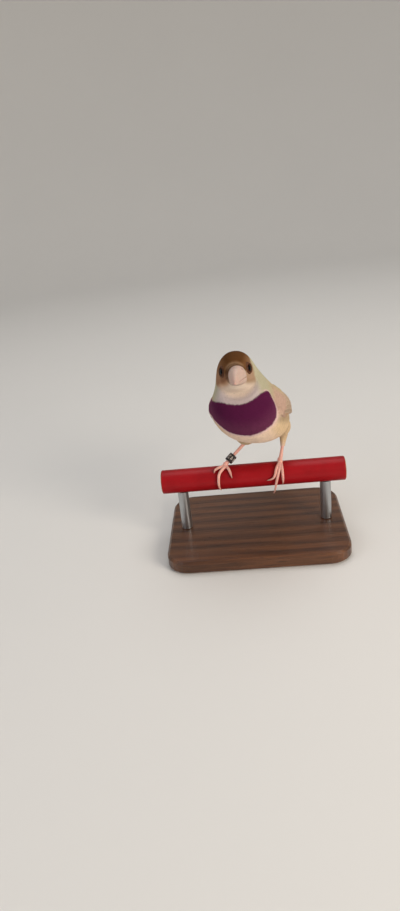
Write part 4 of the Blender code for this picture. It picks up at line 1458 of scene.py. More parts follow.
@dataclass
class FoldedWing:
    """One folded wing: a thin pad with rows of long feathers that lie over each other.

    A row gives how many feathers it has, the first and last root and the first and last tip as places (u, v),
    the half width, the heights over the skin at root and tip, and the colour code.
    """

    plan: WingPlan
    side: Side
    shoulder: str
    rows: tuple = (
        (8, ((0.34, 0.44), (0.42, 0.88)), ((0.78, 0.3), (1, 0.6)), 1.75, (0.95, 1.05), "a8835f"),
        (7, ((0.24, 0.34), (0.3, 0.86)), ((0.7, 0.3), (0.6, 0.88)), 2, (1.15, 1.25), "b58e69"),
        (3, ((0.24, 0.15), (0.26, 0.34)), ((0.72, 0.16), (0.6, 0.28)), 2.6, (1.3, 1.45), "b99b7c"),
        (5, ((0.24, 0.7), (0.26, 0.92)), ((0.54, 0.72), (0.62, 0.92)), 1.3, (1.25, 1.3), "b28a66"),
        (8, ((0.15, 0.2), (0.2, 0.88)), ((0.44, 0.16), (0.42, 0.9)), 1.9, (1.25, 1.55), "b69676"),
        (8, ((0.08, 0.18), (0.12, 0.88)), ((0.3, 0.14), (0.29, 0.9)), 1.6, (1.45, 1.7), "b89879"),
    )
    pad: tuple = (0.3, 0.86)
    pad_colour: str = "b08e6c"
    small_rows: int = 9
    small_cols: int = 13
    small_sizes: tuple = (1.15, 0.3, 0.18)
    thickness: float = 0.26
    tilt: float = 0.1
    tier_step: float = 0.1
    cols: int = 7
    lengths: int = 22
    seed: int = 40

    def quill(self, shape: Shape, ends: Sequence, half: float, heights: tuple, tint: Array) -> None:
        """Adds one long feather, bent to the skin.

        Formula: straight from root to tip over the wing's places; the half width swells as a sine and ends
        as a circle, and the height falls off to both sides.

        Args:
            shape: What gathers the wing.
            ends: Root and tip as (u, v).
            half: Half the width.
            heights: Heights at root and tip.
            tint: Its tint.
        """
        form, root, tip = self.plan.form, *ends
        share = 1 - (1 - np.linspace(0, 1, self.lengths)) ** 1.5
        u = root[0] + (tip[0] - root[0]) * share
        v = root[1] + (tip[1] - root[1]) * share
        step = 0.02
        sides = [form.point(*self.plan.place(u, v + k * step, self.side)) for k in (-1, 1)]
        swell = 0.55 + 0.45 * sine_rise(0.45, share)
        round_off = np.sqrt(np.maximum(1 - np.clip((share - 0.72) / 0.28, 0, 1) ** 2, 0.012))
        reach = half * swell * round_off * 2 * step / np.linalg.norm(sides[1] - sides[0], axis=-1)
        edge = np.linspace(-1, 1, self.cols)
        across_wing = v[:, None] + edge * reach[:, None]
        rise = self.plan.rise(u[:, None], across_wing)
        lift = (heights[0] + (heights[1] - heights[0]) * share)[:, None]
        lift = (lift + edge * self.tilt - 0.1 * edge**2) * rise
        depth = self.thickness * (1 - 0.5 * share[:, None] ** 3) * rise
        place = self.plan.place(u[:, None], across_wing, self.side)
        top, below = form.over(*place, lift), form.over(*place, lift - depth)
        shape.sheet(top, below, tint, self.side is Side.LEFT, edge)

    def padding(self, shape: Shape) -> None:
        """Adds the closed pad under the feathers.

        Args:
            shape: What gathers the wing.
        """
        u = np.linspace(-0.01, 0.86, 40)[:, None]
        v = np.linspace(-0.01, 1.01, 18)[None, :]
        place = self.plan.place(u, v, self.side)
        below, top = (self.plan.form.over(*place, height * self.plan.rise(u, v)) for height in self.pad)
        shape.sheet(top, below, (*linear(self.pad_colour), 0.4), self.side is Side.LEFT)

    def small_feathers(self) -> Shape:
        """The short rounded feathers over the wrist and the fore edge.

        Returns:
            Their shape.
        """
        form = self.plan.form
        draw = np.random.default_rng(self.seed)
        row, col = crossed_flat(self.small_rows, self.small_cols)
        u = -0.012 + 0.024 * row + draw.uniform(-0.004, 0.004, row.size)
        v = col + 0.5 * (row % 2) + draw.uniform(-0.2, 0.2, row.size)
        v = np.clip(v / (self.small_cols - 0.5), 0.02, 1)
        order = np.argsort(-u, kind="stable")
        u, v = u[order], v[order]
        place = self.plan.place(u, v, self.side)
        heading = unit(form.point(*self.plan.place(u + 0.02, v, self.side)) - form.point(*place))
        ahead = form.steps_for(*place, heading)
        aside = form.steps_for(*place, np.cross(form.normal(*place), heading))
        long = 3 * draw.uniform(0.9, 1.15, len(u))
        sizes = (np.full(len(u), size) for size in self.small_sizes)
        sets = VaneSet(VaneForm(6, 7), long, *sizes, self.seed)
        s, a, height = sets.lie(place, ahead, aside)
        rise = self.plan.rise(u, v)[:, None, None]
        points = form.over(s, a, height * (0.35 + 0.65 * rise) + 1.5 * rise - 0.05)
        ground = blend(self.shoulder, self.rows[-1][-1], ramp(0, 0.16, u)[:, None, None])
        # Painted shade: the small feathers darken towards the wing's lower edge.
        ground = ground * (1 - 0.22 * ramp(0.62, 0.98, v)[:, None, None, None])
        shape = Shape()
        sets.add_to(shape, points, np.broadcast_to(ground, points.shape), form.unwrap(*place))
        return shape

    def build(self, finish: Material, small_finish: Material) -> None:
        """Makes the wing in place of its solid.

        Args:
            finish: The long feathers' material.
            small_finish: The small ones'.
        """
        draw = np.random.default_rng(self.seed)
        shape = Shape()
        self.padding(shape)
        for count, roots, tips, half, heights, code in self.rows:
            for index in reversed(range(count)):
                place = index / (count - 1)
                ends = [(1 - place) * np.array(pair[0]) + place * np.array(pair[1]) for pair in (roots, tips)]
                lift = (1 - place) * self.tier_step * 1.4
                # A random tone, times painted shade that darkens the feathers nearest the wing's lower edge.
                tone = draw.uniform(0.93, 1.05) * (1 - 0.24 * ramp(0.55, 1, place))
                tint = (*(linear(code) * tone), draw.uniform())
                self.quill(shape, ends, half, (heights[0] + lift, heights[1] + lift), tint)
        node = "wing_" + self.side.word
        place_piece(shape.build("feathers_" + node, finish), (node,))
        place_piece(self.small_feathers().build("coverts_" + node, small_finish))


@dataclass
class Tail:
    """The folded tail: six pairs of feathers with a longer, thin-pointed middle pair.

    A row gives the root's millimetres aside, its fan in degrees, length, half width, height, droop, how blunt
    the tip is, where it starts to narrow, and its colour code.
    """

    form: BodyForm
    root: tuple = (-42, 21.3)
    pitch: float = 22
    yaw: float = 9.5
    rows: tuple = (
        (1.9, 5.5, 27, 1.9, -0.85, -0.3, 0.3, 0.8, "b49a80"),
        (1.6, 4.6, 30, 2, -0.67, -0.3, 0.3, 0.8, "b1967b"),
        (1.3, 3.6, 33, 2, -0.49, -0.3, 0.3, 0.8, "ad9176"),
        (1.1, 2.6, 36, 2, -0.31, -0.3, 0.3, 0.8, "ab8e72"),
        (0.9, 1.6, 39, 2, -0.13, -0.3, 0.25, 0.8, "a8896c"),
        (0.8, -0.2, 53, 1.5, 0.1, -0.5, 0.1, 0.52, "9c7c60"),
    )
    thickness: float = 0.3
    lengths: int = 30
    cols: int = 7
    seed: int = 90

    def feather(self, shape: Shape, sign: int, row: tuple, tint: Array) -> None:
        """Adds one feather.

        Formula: the shaft leaves at its fan angle and droops with the square of the way; the half width
        swells as a sine and rounds off to the tip.

        Args:
            shape: What gathers the tail.
            sign: 1 on the left, -1 on the right.
            row: Its sizes.
            tint: Its tint.
        """
        aside, fan, length, half, height, droop, blunt, start, _ = row
        root = self.form.to_space(self.root[0], 0, self.root[1], 19)
        pitch, yaw, turn = (math.radians(value) for value in (self.pitch, self.yaw, fan))
        back = np.array([math.sin(yaw) * math.cos(pitch), math.cos(yaw) * math.cos(pitch), -math.sin(pitch)])
        left = np.array([math.cos(yaw), -math.sin(yaw), 0])
        up = np.cross(back, left)
        share = (1 - (1 - np.linspace(0, 1, self.lengths)) ** 1.4)[:, None]
        reach = length * share
        swell = 0.6 + 0.4 * sine_rise(0.5, share)
        over = np.clip((share - start) / (1 - start), 0, 1)
        width = half * swell * np.maximum((1 - over**2) ** 0.5, blunt * (1 - 0.6 * over))
        edge = np.linspace(-1, 1, self.cols)
        lift = height + droop * share**2 - 0.1 * edge**2 - sign * edge * 0.05
        depth = self.thickness * (1 - 0.4 * share**3)
        across = sign * (aside + reach * math.sin(turn)) + edge * width
        flat = root + (reach * math.cos(turn))[..., None] * back + across[..., None] * left
        top, below = (flat + level[..., None] * up for level in (lift, lift - depth))
        shape.sheet(top, below, tint, edge=edge)

    def build(self, finish: Material) -> None:
        """Makes the tail in place of its solid.

        Args:
            finish: Its material.
        """
        draw = np.random.default_rng(self.seed)
        shape = Shape()
        for row in self.rows:
            for side in Side:
                tint = (*(linear(row[-1]) * draw.uniform(0.95, 1.04)), draw.uniform())
                self.feather(shape, side.value, row, tint)
        place_piece(shape.build("tail_feathers", finish), ("tail",))


@dataclass
class Eye:
    """One eyeball and the beaded lids round it, whose sizes are radii and heights over its centre."""

    place: EyePlace
    aperture: tuple = (1.68, 1.48)
    crest: tuple = (1.95, 2.12)
    skirt: tuple = (2.45, 1.4)
    skirt_hem: tuple = ((2.3, 1.05), (2.3, 0.75), (2.36, 0.45))
    inner_radius: float = 1.9
    beads: int = 30
    bead: float = 0.05

    def eyeball(self, finish: Material) -> None:
        """Makes the eyeball in place of its solid.

        Args:
            finish: Its material.
        """
        word = self.place.side.word
        shape = Shape().grid(ball(self.place.centre, self.place.radius, 48, 64, self.place.axes))
        place_piece(shape.build("eyeball_" + word, finish), ("eye_" + word,))

    def lids(self, finish: Material) -> None:
        """Makes the lids, a closed ring.

        Formula: from an oval lip on the ball up to a beaded crest, down to a skirt under the face feathers,
        and back below.

        Args:
            finish: Their material.
        """
        turn = turns(self.beads * 6)
        lip = np.hypot(self.aperture[0] * np.cos(turn), self.aperture[1] * np.sin(turn))
        reach = self.place.radius + 0.015
        on_ball = np.sqrt(reach**2 - lip**2)
        bead = self.bead * np.cos(turn * self.beads)
        (crest_radius, crest_height), (skirt_radius, skirt_height) = self.crest, self.skirt
        rows = [(lip, on_ball), (lip + 0.04, on_ball + 0.14)]
        for share in (0.3, 0.6, 0.85, 1):
            height = on_ball + 0.16
            height = height + (crest_height - height) * share + 0.1 * math.sin(share * math.pi)
            height = height + bead * math.sin(math.pi * min(share, 0.85))
            rows.append((lip + 0.05 + (crest_radius - lip) * share, height))
        for share in (0.35, 0.7, 1):
            radius = crest_radius + 0.06 + (skirt_radius - crest_radius) * share
            rows.append((radius, crest_height + (skirt_height - crest_height) * share))
        rows += [*self.skirt_hem, (self.inner_radius, math.sqrt(reach**2 - self.inner_radius**2)), rows[0]]
        radius, height = (np.stack([np.broadcast_to(row[k], turn.shape) for row in rows]) for k in (0, 1))
        grid = self.place.centre + turned(radius, height, turn.size, self.place.axes)
        shape = Shape().grid(grid, flip=False, caps=(False, False))
        place_piece(shape.build("lids_" + self.place.side.word, finish))


@dataclass
class Bill:
    """The stout conical bill, in two halves that meet at the mouth line."""

    form: BodyForm
    length: float = 10.4
    lower_share: float = 0.93
    droop: float = 0.5
    half_width: float = 3.4
    twist: tuple = (0.6, -0.4)
    culmen: float = 4.85
    gonys: float = 2.9
    mouth_height: float = 56.1
    gap: float = 0.15
    tucked: float = 0.3
    nostril: tuple = (28.3, 2.35, 59.2, 0.4)
    nostril_radius: float = 0.42
    rows: int = 44
    sides: int = 56

    def half(self, upper: bool) -> Array:
        """One half of the bill.

        Formula: half ovals whose width and height shrink with powers of the way along.

        Args:
            upper: Whether it is the upper half.

        Returns:
            Rings from base to tip.
        """
        t = (1 - (1 - np.linspace(0, 1, self.rows)) ** 1.25)[:, None]
        wide = self.half_width * (1 - t**1.25) ** 0.85 + 0.14
        if upper:
            tall = self.culmen * (1 - t**1.75) ** 0.95 + 0.22
        else:
            tall = self.gonys * (1 - t**1.3) ** 0.9 + 0.14
        turn = np.linspace(0, math.pi, self.sides // 2 + 1)[None, :]
        floor = np.linspace(-1, 1, self.sides // 2 + 1)[1:-1]
        side = np.concatenate([wide * np.cos(turn), wide * floor], axis=1)
        edge = self.gap * (1 - 0.65 * np.abs(floor) ** 4)
        arch = self.gap + np.sin(turn) ** 0.74 * tall
        up = np.concatenate([arch, np.broadcast_to(edge, (self.rows, len(floor)))], axis=1)
        up = (up if upper else -up) - 0.9 * (1 - t) ** 3
        droop = math.radians(self.droop)
        along = t * (self.length if upper else self.length * self.lower_share)
        forward = self.base(self.mouth_height + up) * (1 - t) + self.base(self.mouth_height) * t
        forward = forward + along * math.cos(droop) + up * math.sin(droop) * t
        height = self.mouth_height + up - along * math.sin(droop)
        side = side + self.twist[0] * (1 - t) + self.twist[1] * t
        return self.form.head_point(forward, side, height)

    def base(self, height: Array) -> Array:
        """How far forward the bill's base lies at a height: just inside the head's front face."""
        top_f, top_z, low_f, low_z = self.form.sections[0][:4]
        return low_f + (top_f - low_f) * (height - low_z) / (top_z - low_z) - self.tucked

    def build(self, finish: Material) -> None:
        """Makes both halves in place of their solids, with two nostrils in the upper one.

        Args:
            finish: The horn.
        """
        forward, aside, height, off_middle = self.nostril
        upper = Shape().grid(self.half(True)).build("horn_bill_upper")
        centres = [self.form.head_point(forward, sign * aside + off_middle, height) for sign in (-1, 1)]
        pits = [Shape().grid(ball(centre, self.nostril_radius, 16, 24)).build("pit") for centre in centres]
        combine(upper, pits, "DIFFERENCE", finish)
        place_piece(upper, ("bill_upper",))
        lower = Shape().grid(self.half(False), flip=False).build("horn_bill_lower", finish)
        place_piece(lower, ("bill_lower",))


@dataclass
class Leg:
    """A scaly shank and a foot that grips the perch, with four clawed toes.

    Feet, heels and toes are given for right and left. A toe is its places along the perch from the foot and
    its degrees forward of the perch's top, each at root, middle, end and claw's tip, and the claw's lift.
    """

    side: Side
    feet: tuple = ((-11.9, -1, 6.95), (12.9, -1.9, 6.75))
    heels: tuple = ((-1.2, 5, 15.4), (16.2, 6.6, 17.6))
    toes: tuple = (
        (
            ((-0.3, -2.6, -4.6, -5.4), (10, 18, 28, 42), 0),
            ((-0.1, -3, -3.6, -2.7), (16, 50, 96, 134), 0),
            ((0.4, 1.3, 2, 2.6), (16, 30, 48, 70), 0),
            ((0.1, 0.4, 0.6, 0.4), (0, -40, -84, -132), 0),
        ),
        (
            ((0.3, 0.5, 0.6, 0.4), (20, 48, 90, 122), 0),
            ((0, -1, -2.6, -4.1), (22, 56, 106, 152), 3),
            ((-0.4, -1.9, -3.4, -6.6), (20, 44, 80, 94), 0),
            ((0.1, -0.3, -0.6, -0.5), (4, -40, -86, -134), 0),
        ),
    )
    shank: float = 0.72
    bend: float = 1.05
    foot: float = 1.2
    toe: float = 0.68
    toe_slims: tuple = (1.1, 1, 0.86, 0.75)
    claw: float = 0.44
    gap: float = 0.3
    scute: float = 0.045

    def ends(self) -> Pair:
        """The middle of the foot and of the heel."""
        return np.array(self.side.pick(self.feet)), np.array(self.side.pick(self.heels))

    def path(self, toe: tuple, place: Array, radius: Array) -> Array:
        """A toe's middle line, its own radius over the perch.

        Args:
            toe: The toe's row.
            place: Where, from 0 at the root to 3 at the claw's tip.
            radius: Its radius there.

        Returns:
            Points by 3.
        """
        lengths, degrees, lifted = toe
        x, turn = (curve_through(values, place)[:, 0] for values in (lengths, degrees))
        turn = np.radians(turn)
        reach = PERCH_RADIUS + (self.gap + radius + lifted * ramp(1.6, 3, place))
        return np.stack([self.ends()[0][0] + x, -reach * np.sin(turn), reach * np.cos(turn)], axis=-1)

    def toe_shape(self, toe: tuple) -> Shape:
        """A tube with pads below its joints and scales across its top.

        Args:
            toe: The toe's row.

        Returns:
            One toe.
        """
        place = np.linspace(0, 2.12, 60)
        radius = np.interp(place, (0, 1, 2, 2.12), self.toe * np.array(self.toe_slims))
        path = self.path(toe, place, radius)
        turn = turns(18)
        run = np.concatenate([[0], np.cumsum(np.linalg.norm(np.diff(path, axis=0), axis=-1))])[:, None]
        relief = -self.scute * np.mod(run / 0.95, 1) ** 4 * np.clip(np.sin(turn) + 0.6, 0, 1)
        pads = 0.07 * np.maximum(0, np.cos(run * FULL_TURN / 2.6)) * np.clip(-np.sin(turn), 0, 1)
        shape = Shape()
        shape.tube(path, radius - 0.03, 18, path * (0, 1, 1), relief=relief + pads)
        return shape

    def claw_shape(self, toe: tuple, shape: Shape) -> None:
        """Adds a curved horn that thins to a point.

        Args:
            toe: The toe's row.
            shape: What gathers the claws.
        """
        share = np.linspace(0, 1, 20)
        radius = self.claw * (1 - share) ** 0.6 + 0.11
        path = self.path(toe, 1.86 + 1.14 * share, radius + 0.22 * np.sin(share * math.pi))
        shape.tube(path, radius, 14, path * (0, 1, 1), flatten=1.1)

    def build(self, skin: Material, horn: Material) -> None:
        """Makes shank and foot, and the claws.

        Args:
            skin: The skin's material.
            horn: The claws'.
        """
        word, toes = self.side.word, self.side.pick(self.toes)
        foot, heel = self.ends()
        length = np.linalg.norm(heel - foot)
        share = np.linspace(0, 1, 90)
        path = foot + unit(heel - foot) * (0.2 + share * (length - 0.2))[:, None]
        radii = np.interp(share, (0, 0.16, 0.34, 0.8, 1), (0.98, 0.86, self.shank, 0.8, self.bend))
        front = np.clip(np.cos(turns(28) - math.pi / 2) + 0.75, 0, 1)
        scales = np.mod(share * length / 1.25, 1)[:, None] ** 5
        shank = Shape()
        shank.tube(path, radii, 28, (0, -1, 0.3), relief=-self.scute * scales * front - 0.02)
        whole = shank.build("leg_" + word)
        joints = (foot, self.foot), (heel, self.bend * 1.12)
        parts = [Shape().grid(ball(*joint, 18, 28)).build("joint") for joint in joints]
        parts += [self.toe_shape(toe).build("toe") for toe in toes]
        combine(whole, parts, "UNION", skin)
        place_piece(whole, ("shank_" + word, "foot_" + word))
        claws = Shape()
        for toe in toes:
            self.claw_shape(toe, claws)
        place_piece(claws.build("claws_" + word, horn))


@dataclass
class LegRing:
    """The dark closed ring on the right leg, with plain raised numbers.

    A number's strokes are corners in a box from 0 to 1, across and up.
    """

    leg: Leg
    outer: float = 1.85
    inner: float = 1.3
    height: float = 3.8
    share: float = 0.255
    edge: float = 0.16
    digits: tuple = (
        ((0.2, 0.75), (0.5, 1), (0.5, 0)),
        ((0.75, 0), (0.75, 1), (0, 0.3), (1, 0.3)),
        ((0, 0.8), (0.2, 1), (0.8, 1), (1, 0.8), (1, 0.6), (0, 0), (1, 0)),
    )
    digit_height: float = 1.7
    digit_width: float = 0.95
    stroke: float = 0.11

    def build(self, finish: Material, paint: Material) -> None:
        """Makes the ring in place of its solid, and its numbers.

        Formula: a rounded rectangle turned about the leg, with thin tubes for strokes.

        Args:
            finish: The band's material.
            paint: The numbers'.
        """
        foot, heel = self.leg.ends()
        axis, ahead = unit(heel - foot), np.array((0, -1, 0.2))
        front = unit(ahead - axis * dot(ahead, axis))
        centre, beside = foot + (heel - foot) * self.share, np.cross(axis, front)
        half, e = self.height / 2 - self.edge, self.edge
        corner = np.radians(np.arange(0, 91, 18))
        outer, inner = self.outer - e, self.inner + e
        corners = (outer, half, 0), (inner, half, 90), (inner, -half, 180), (outer, -half, 270)
        profile = []
        for radius, z, begin in corners:
            turn = corner + math.radians(begin)
            profile.append(np.stack([radius + e * np.cos(turn), z + e * np.sin(turn)], axis=-1))
        profile = np.concatenate(profile + [profile[0][:1]])
        grid = centre + turned(*profile.T[..., None], 96, (front, beside, axis))
        band = Shape().grid(grid, caps=(False, False))
        place_piece(band.build("ring_band", finish, 60), ("leg_ring",))
        marks = Shape()
        for number, digit in enumerate(self.digits):
            along = (len(self.digits) / 2 - 0.5 - number) * self.digit_width * 1.45
            steps = np.arange(len(digit))
            fine = np.linspace(0, steps[-1], 8 * steps[-1] + 1)
            x, z = (np.interp(fine, steps, values) for values in np.array(digit).T)
            angle = (along - (x - 0.5) * self.digit_width) / self.outer
            out = np.cos(angle)[:, None] * front + np.sin(angle)[:, None] * beside
            path = centre + out * (self.outer + 0.01) + ((z - 0.5) * self.digit_height)[:, None] * axis
            marks.tube(path, np.full(len(path), self.stroke), 8, out)
        place_piece(marks.build("ring_numbers", paint))


@dataclass
class Perch:
    """A short cut length of painted dowel that the feet grip."""

    length: float = 84
    bevel: float = 0.6
    sides: int = 160
    rings: int = 59
    end_rings: tuple = (0.8, 0.5, 0.2, 0.02)

    def build(self, paint: Material) -> None:
        """Makes the dowel in place of its solid.

        Formula: circles along the x axis, smaller at both ends by a rounded bevel.

        Args:
            paint: Its material.
        """
        half = self.length / 2
        straight, radius = half - self.bevel, PERCH_RADIUS - self.bevel
        turn = np.radians(np.linspace(0, 90, 7))
        middle = np.linspace(0, straight, self.rings + 1)[:-1]
        flat = np.array(self.end_rings) * PERCH_RADIUS
        x = np.concatenate([middle, straight + self.bevel * np.sin(turn), np.full(len(flat), half)])
        radius = np.concatenate([np.full(self.rings, PERCH_RADIUS), radius + self.bevel * np.cos(turn), flat])
        x, radius = np.concatenate([-x[:0:-1], x]), np.concatenate([radius[:0:-1], radius])
        shape = Shape().grid(turned(radius[:, None], x[:, None], self.sides, ALONG_X))
        place_piece(shape.build("dowel", paint, 40), ("perch",))


@dataclass(frozen=True)
class PlumageFinish:
    """Small feathers: each point's own colour, softer at the edge, with fine barbs and a faint shaft."""

    name: str = "plumage"
    roughness: float = 0.78
    edge: float = 0.15
    shaft: float = 0.06
    barbs: float = 26
    barb_depth: float = 0.00003
    tone: float = 0.13
    tip: float = 0.07

    def make(self) -> Material:
        """Mixes the finish.

        Returns:
            The material.
        """
        paint = Paint(self.name, Roughness=self.roughness, Specular_IOR_Level=0.05)
        colour, tone = paint.tint()
        across, along = paint.map_place("vane")
        aside = (across - 0.5).size() * 2
        stripe = ((along * self.barbs - aside * (self.barbs * 0.45)) * FULL_TURN).wave()
        shaft = aside.rise(0.14, 0) * along.rise(1, 0.5)
        rim = aside.rise(0.6, 1)
        shade = 1 - self.tone * 0.5 + tone * self.tone
        tip = along.rise(0.8, 0.99)
        # Each feather is darker towards its root, partly as the greyer down there and partly as painted shade
        # under the feather above; its rim and tip are lighter.
        shade = shade - along.rise(0.62, 0.2) * 0.3 + rim * self.edge * 0.5 + tip * self.tip
        shade = shade + stripe * 0.035 - shaft * self.shaft
        tinted = paint.scaled(colour, shade)
        paint.bump(stripe * 0.5 + shaft * 1.5, 0.5, self.barb_depth)
        return paint.feed(tinted, tone * 0.12 + (self.roughness - 0.05))


@dataclass(frozen=True)
class SkinFinish:
    """The skin under the coat, a little darker than the feathers over it."""

    shade: float = 0.62

    def make(self) -> Material:
        """Mixes the finish.

        Returns:
            The material.
        """
        paint = Paint("skin", Roughness=0.85, Specular_IOR_Level=0.2)
        colour, _ = paint.tint()
        grain = paint.noise(2600, 4)
        paint.bump(grain, 0.4, 0.0001)
        return paint.feed(paint.scaled(colour, grain * 0.25 + (self.shade - 0.12)))


@dataclass(frozen=True)
class QuillFinish:
    """Long wing and tail feathers: a darker shaft, oblique barbs and a pale worn edge."""

    roughness: float = 0.62
    barbs: float = 90
    pale: str = "d8bfa2"
    dark: str = "7a5a40"

    def make(self) -> Material:
        """Mixes the finish.

        Returns:
            The material.
        """
        paint = Paint("quills", Roughness=self.roughness, Specular_IOR_Level=0.35, Sheen_Weight=0.12)
        colour, tone = paint.tint()
        across, along = paint.map_place("surface")
        aside = (across - 0.5).size() * 2
        stripe = ((along * self.barbs - aside * 7) * FULL_TURN).wave()
        shaft = aside.rise(0.1, 0.03)
        rim = aside.rise(0.72, 0.97)
        shade = tone * 0.1 + 0.93 + stripe * 0.03 - aside.rise(0.2, 0.7) * 0.06
        tinted = paint.scaled(colour, shade)
        tinted = paint.mix(shaft * 0.6, tinted, self.dark)
        tinted = paint.mix(rim * 0.45, tinted, self.pale)
        paint.bump(stripe * 0.4 + shaft * 2, 0.6, 0.00004)
        return paint.feed(tinted, stripe * 0.03 + self.roughness)


@dataclass(frozen=True)
class HornFinish:
    """The bill's horn: pinkish ivory, rosier at its tip, with faint growth lines."""

    base: str = "c6aa9c"
    tip: str = "c9a496"
    line: str = "aa8d83"

    def make(self) -> Material:
        """Mixes the finish.

        Returns:
            The material.
        """
        glow = {"Subsurface_Weight": 0.12, "Subsurface_Scale": 0.0015}
        paint = Paint("horn", Specular_IOR_Level=0.3, **glow)
        _, along = paint.map_place("surface")
        grain = paint.noise(420, 4)
        fine = paint.noise(2600, 3, (1, 0.25, 1))
        colour = paint.mix(along.rise(0.45, 1.05), self.base, self.tip)
        colour = paint.mix(grain.rise(0.45, 0.75) * 0.35, colour, self.line)
        colour = paint.scaled(colour, fine * 0.14 + 0.93)
        paint.bump(fine * 0.6 + grain * 0.4, 0.35, 0.00006)
        return paint.feed(colour, grain * 0.16 + 0.4)


@dataclass(frozen=True)
class EyeFinish:
    """The wet dark eye: a black pupil in a dark brown iris with fine rays."""

    iris: str = "4a2410"
    iris_edge: str = "28110a"
    pupil: str = "030203"
    pupil_edge: float = 0.835

    def make(self) -> Material:
        """Mixes the finish.

        Returns:
            The material.
        """
        paint = Paint("eye", Specular_IOR_Level=0.07)
        around, along = paint.map_place("surface")
        rays = (around * (FULL_TURN * 40)).wave() * 0.12 + paint.noise(3000, 2) * 0.4 + 0.75
        iris = paint.mix(along.rise(0.74, 0.66), self.iris, self.iris_edge)
        iris = paint.scaled(iris, rays)
        colour = paint.mix(along.rise(self.pupil_edge - 0.012, self.pupil_edge + 0.012), iris, self.pupil)
        return paint.feed(colour, paint.noise(900, 2) * 0.02 + 0.04)


@dataclass(frozen=True)
class BareSkinFinish:
    """Bare skin: of the lids, or of the scaly legs, with darker creases and a finer grain."""

    name: str
    light: str
    dark: str
    scale: float = 1500
    roughness: float = 0.5
    glow: float = 0.15
    shine: float = 0.4

    def make(self) -> Material:
        """Mixes the finish.

        Returns:
            The material.
        """
        glow = {"Subsurface_Weight": self.glow, "Subsurface_Scale": 0.001}
        paint = Paint(self.name, Roughness=self.roughness, Specular_IOR_Level=self.shine, **glow)
        cells = paint.cells(self.scale)
        broad = paint.noise(self.scale * 0.22, 3)
        mottle = cells.rise(0.25, 0.75) * 0.35 + broad.rise(0.4, 0.72) * 0.4
        colour = paint.mix(mottle, self.light, self.dark)
        paint.bump(1 - cells, 0.45, 0.00007)
        return paint.feed(colour, cells * 0.15 + (self.roughness - 0.08))


@dataclass(frozen=True)
class ClawFinish:
    """Claws: rosy at the root and darker to the tip."""

    root: str = "dca294"
    tip: str = "b08374"

    def make(self) -> Material:
        """Mixes the finish.

        Returns:
            The material.
        """
        glow = {"Subsurface_Weight": 0.15, "Subsurface_Scale": 0.0008}
        paint = Paint("claw", Roughness=0.32, Coat_Weight=0.2, **glow)
        _, along = paint.map_place("surface")
        grain = paint.noise(2400, 3, (1, 0.3, 1))
        colour = paint.mix(along.rise(0.3, 0.95), self.root, self.tip)
        return paint.feed(paint.scaled(colour, grain * 0.3 + 0.85), grain * 0.1 + 0.28)


@dataclass(frozen=True)
class PaintedDowelFinish:
    """Glossy red paint over wood whose grain shows faintly, and bare end grain at the cut ends."""

    red: str = "a0121a"
    deep: str = "860c14"
    wood: str = "c69a63"
    ring: str = "8f6336"
    half_length: float = 0.042

    def make(self) -> Material:
        """Mixes the finish.

        Returns:
            The material.
        """
        paint = Paint("red_paint", Specular_IOR_Level=0.16, Coat_Roughness=0.2)
        x, y, z = paint.numbers(paint.place())
        grain = paint.noise(300, 4, (0.08, 1, 1), 0.6)
        blotch = paint.noise(90, 3)
        scuff = paint.noise(520, 5, (0.35, 1, 1), 0.65)
        uneven = blotch.rise(0.35, 0.7) * 0.5 + grain.rise(0.5, 0.75) * 0.25
        red = paint.mix(uneven, self.red, self.deep)
        from_middle = ((y - 0.0006) ** 2 + (z - PERCH_HEIGHT * MM - 0.0009) ** 2) ** 0.5
        rings = (from_middle * 5400 + scuff * 4).wave() * 0.5 + 0.5
        wood = paint.mix(rings * 0.85 + scuff * 0.3, self.wood, self.ring)
        end = x.size().rise(self.half_length - 0.00035, self.half_length - 0.0001)
        paint.bump(grain * (1 - end) + rings * end, 0.35, 0.00012)
        rough = 0.34 + scuff.rise(0.55, 0.72) * 0.12 + grain * 0.06 + end * 0.4
        gloss = (1 - end) * 0.05
        return paint.feed(paint.mix(end, red, wood), rough, Coat_Weight=gloss)


@dataclass(frozen=True)
class StainedWoodFinish:
    """The stand's base: close-grained wood under a dark satin stain."""

    light: str = "6b4226"
    dark: str = "351c0d"
    pore: str = "1c0e06"

    def make(self) -> Material:
        """Mixes the finish.

        Returns:
            The material.
        """
        paint = Paint("stained_wood", Specular_IOR_Level=0.4, Coat_Weight=0.25, Coat_Roughness=0.25)
        _, y, _ = paint.numbers(paint.place())
        warp = paint.noise(28, 3, (0.25, 1, 1))
        fibre = paint.noise(900, 4, (0.05, 1, 1), 0.65)
        bands = ((y + warp * 0.012) * 900).wave() * 0.5 + 0.5
        mixed = bands * 0.55 + fibre.rise(0.35, 0.7) * 0.45
        colour = paint.mix(mixed, self.light, self.dark)
        pores = paint.noise(2600, 2, (0.06, 1, 1)).rise(0.62, 0.72)
        colour = paint.mix(pores * 0.55, colour, self.pore)
        paint.bump(fibre * 0.5 - pores, 0.4, 0.00012)
        return paint.feed(colour, fibre * 0.18 + pores * 0.15 + 0.33)


@dataclass(frozen=True)
class SteelFinish:
    """The stand's rods: steel with fine turned lines."""

    colour: str = "b9bbbd"
    dull: str = "8d8f92"

    def make(self) -> Material:
        """Mixes the finish.

        Returns:
            The material.
        """
        paint = Paint("steel", Metallic=1)
        lines = paint.noise(2400, 3, (0.15, 0.15, 3))
        smear = paint.noise(160, 3)
        paint.bump(lines, 0.2, 0.00002)
        return paint.feed(paint.mix(smear * 0.35, self.colour, self.dull), lines * 0.18 + smear * 0.12 + 0.2)


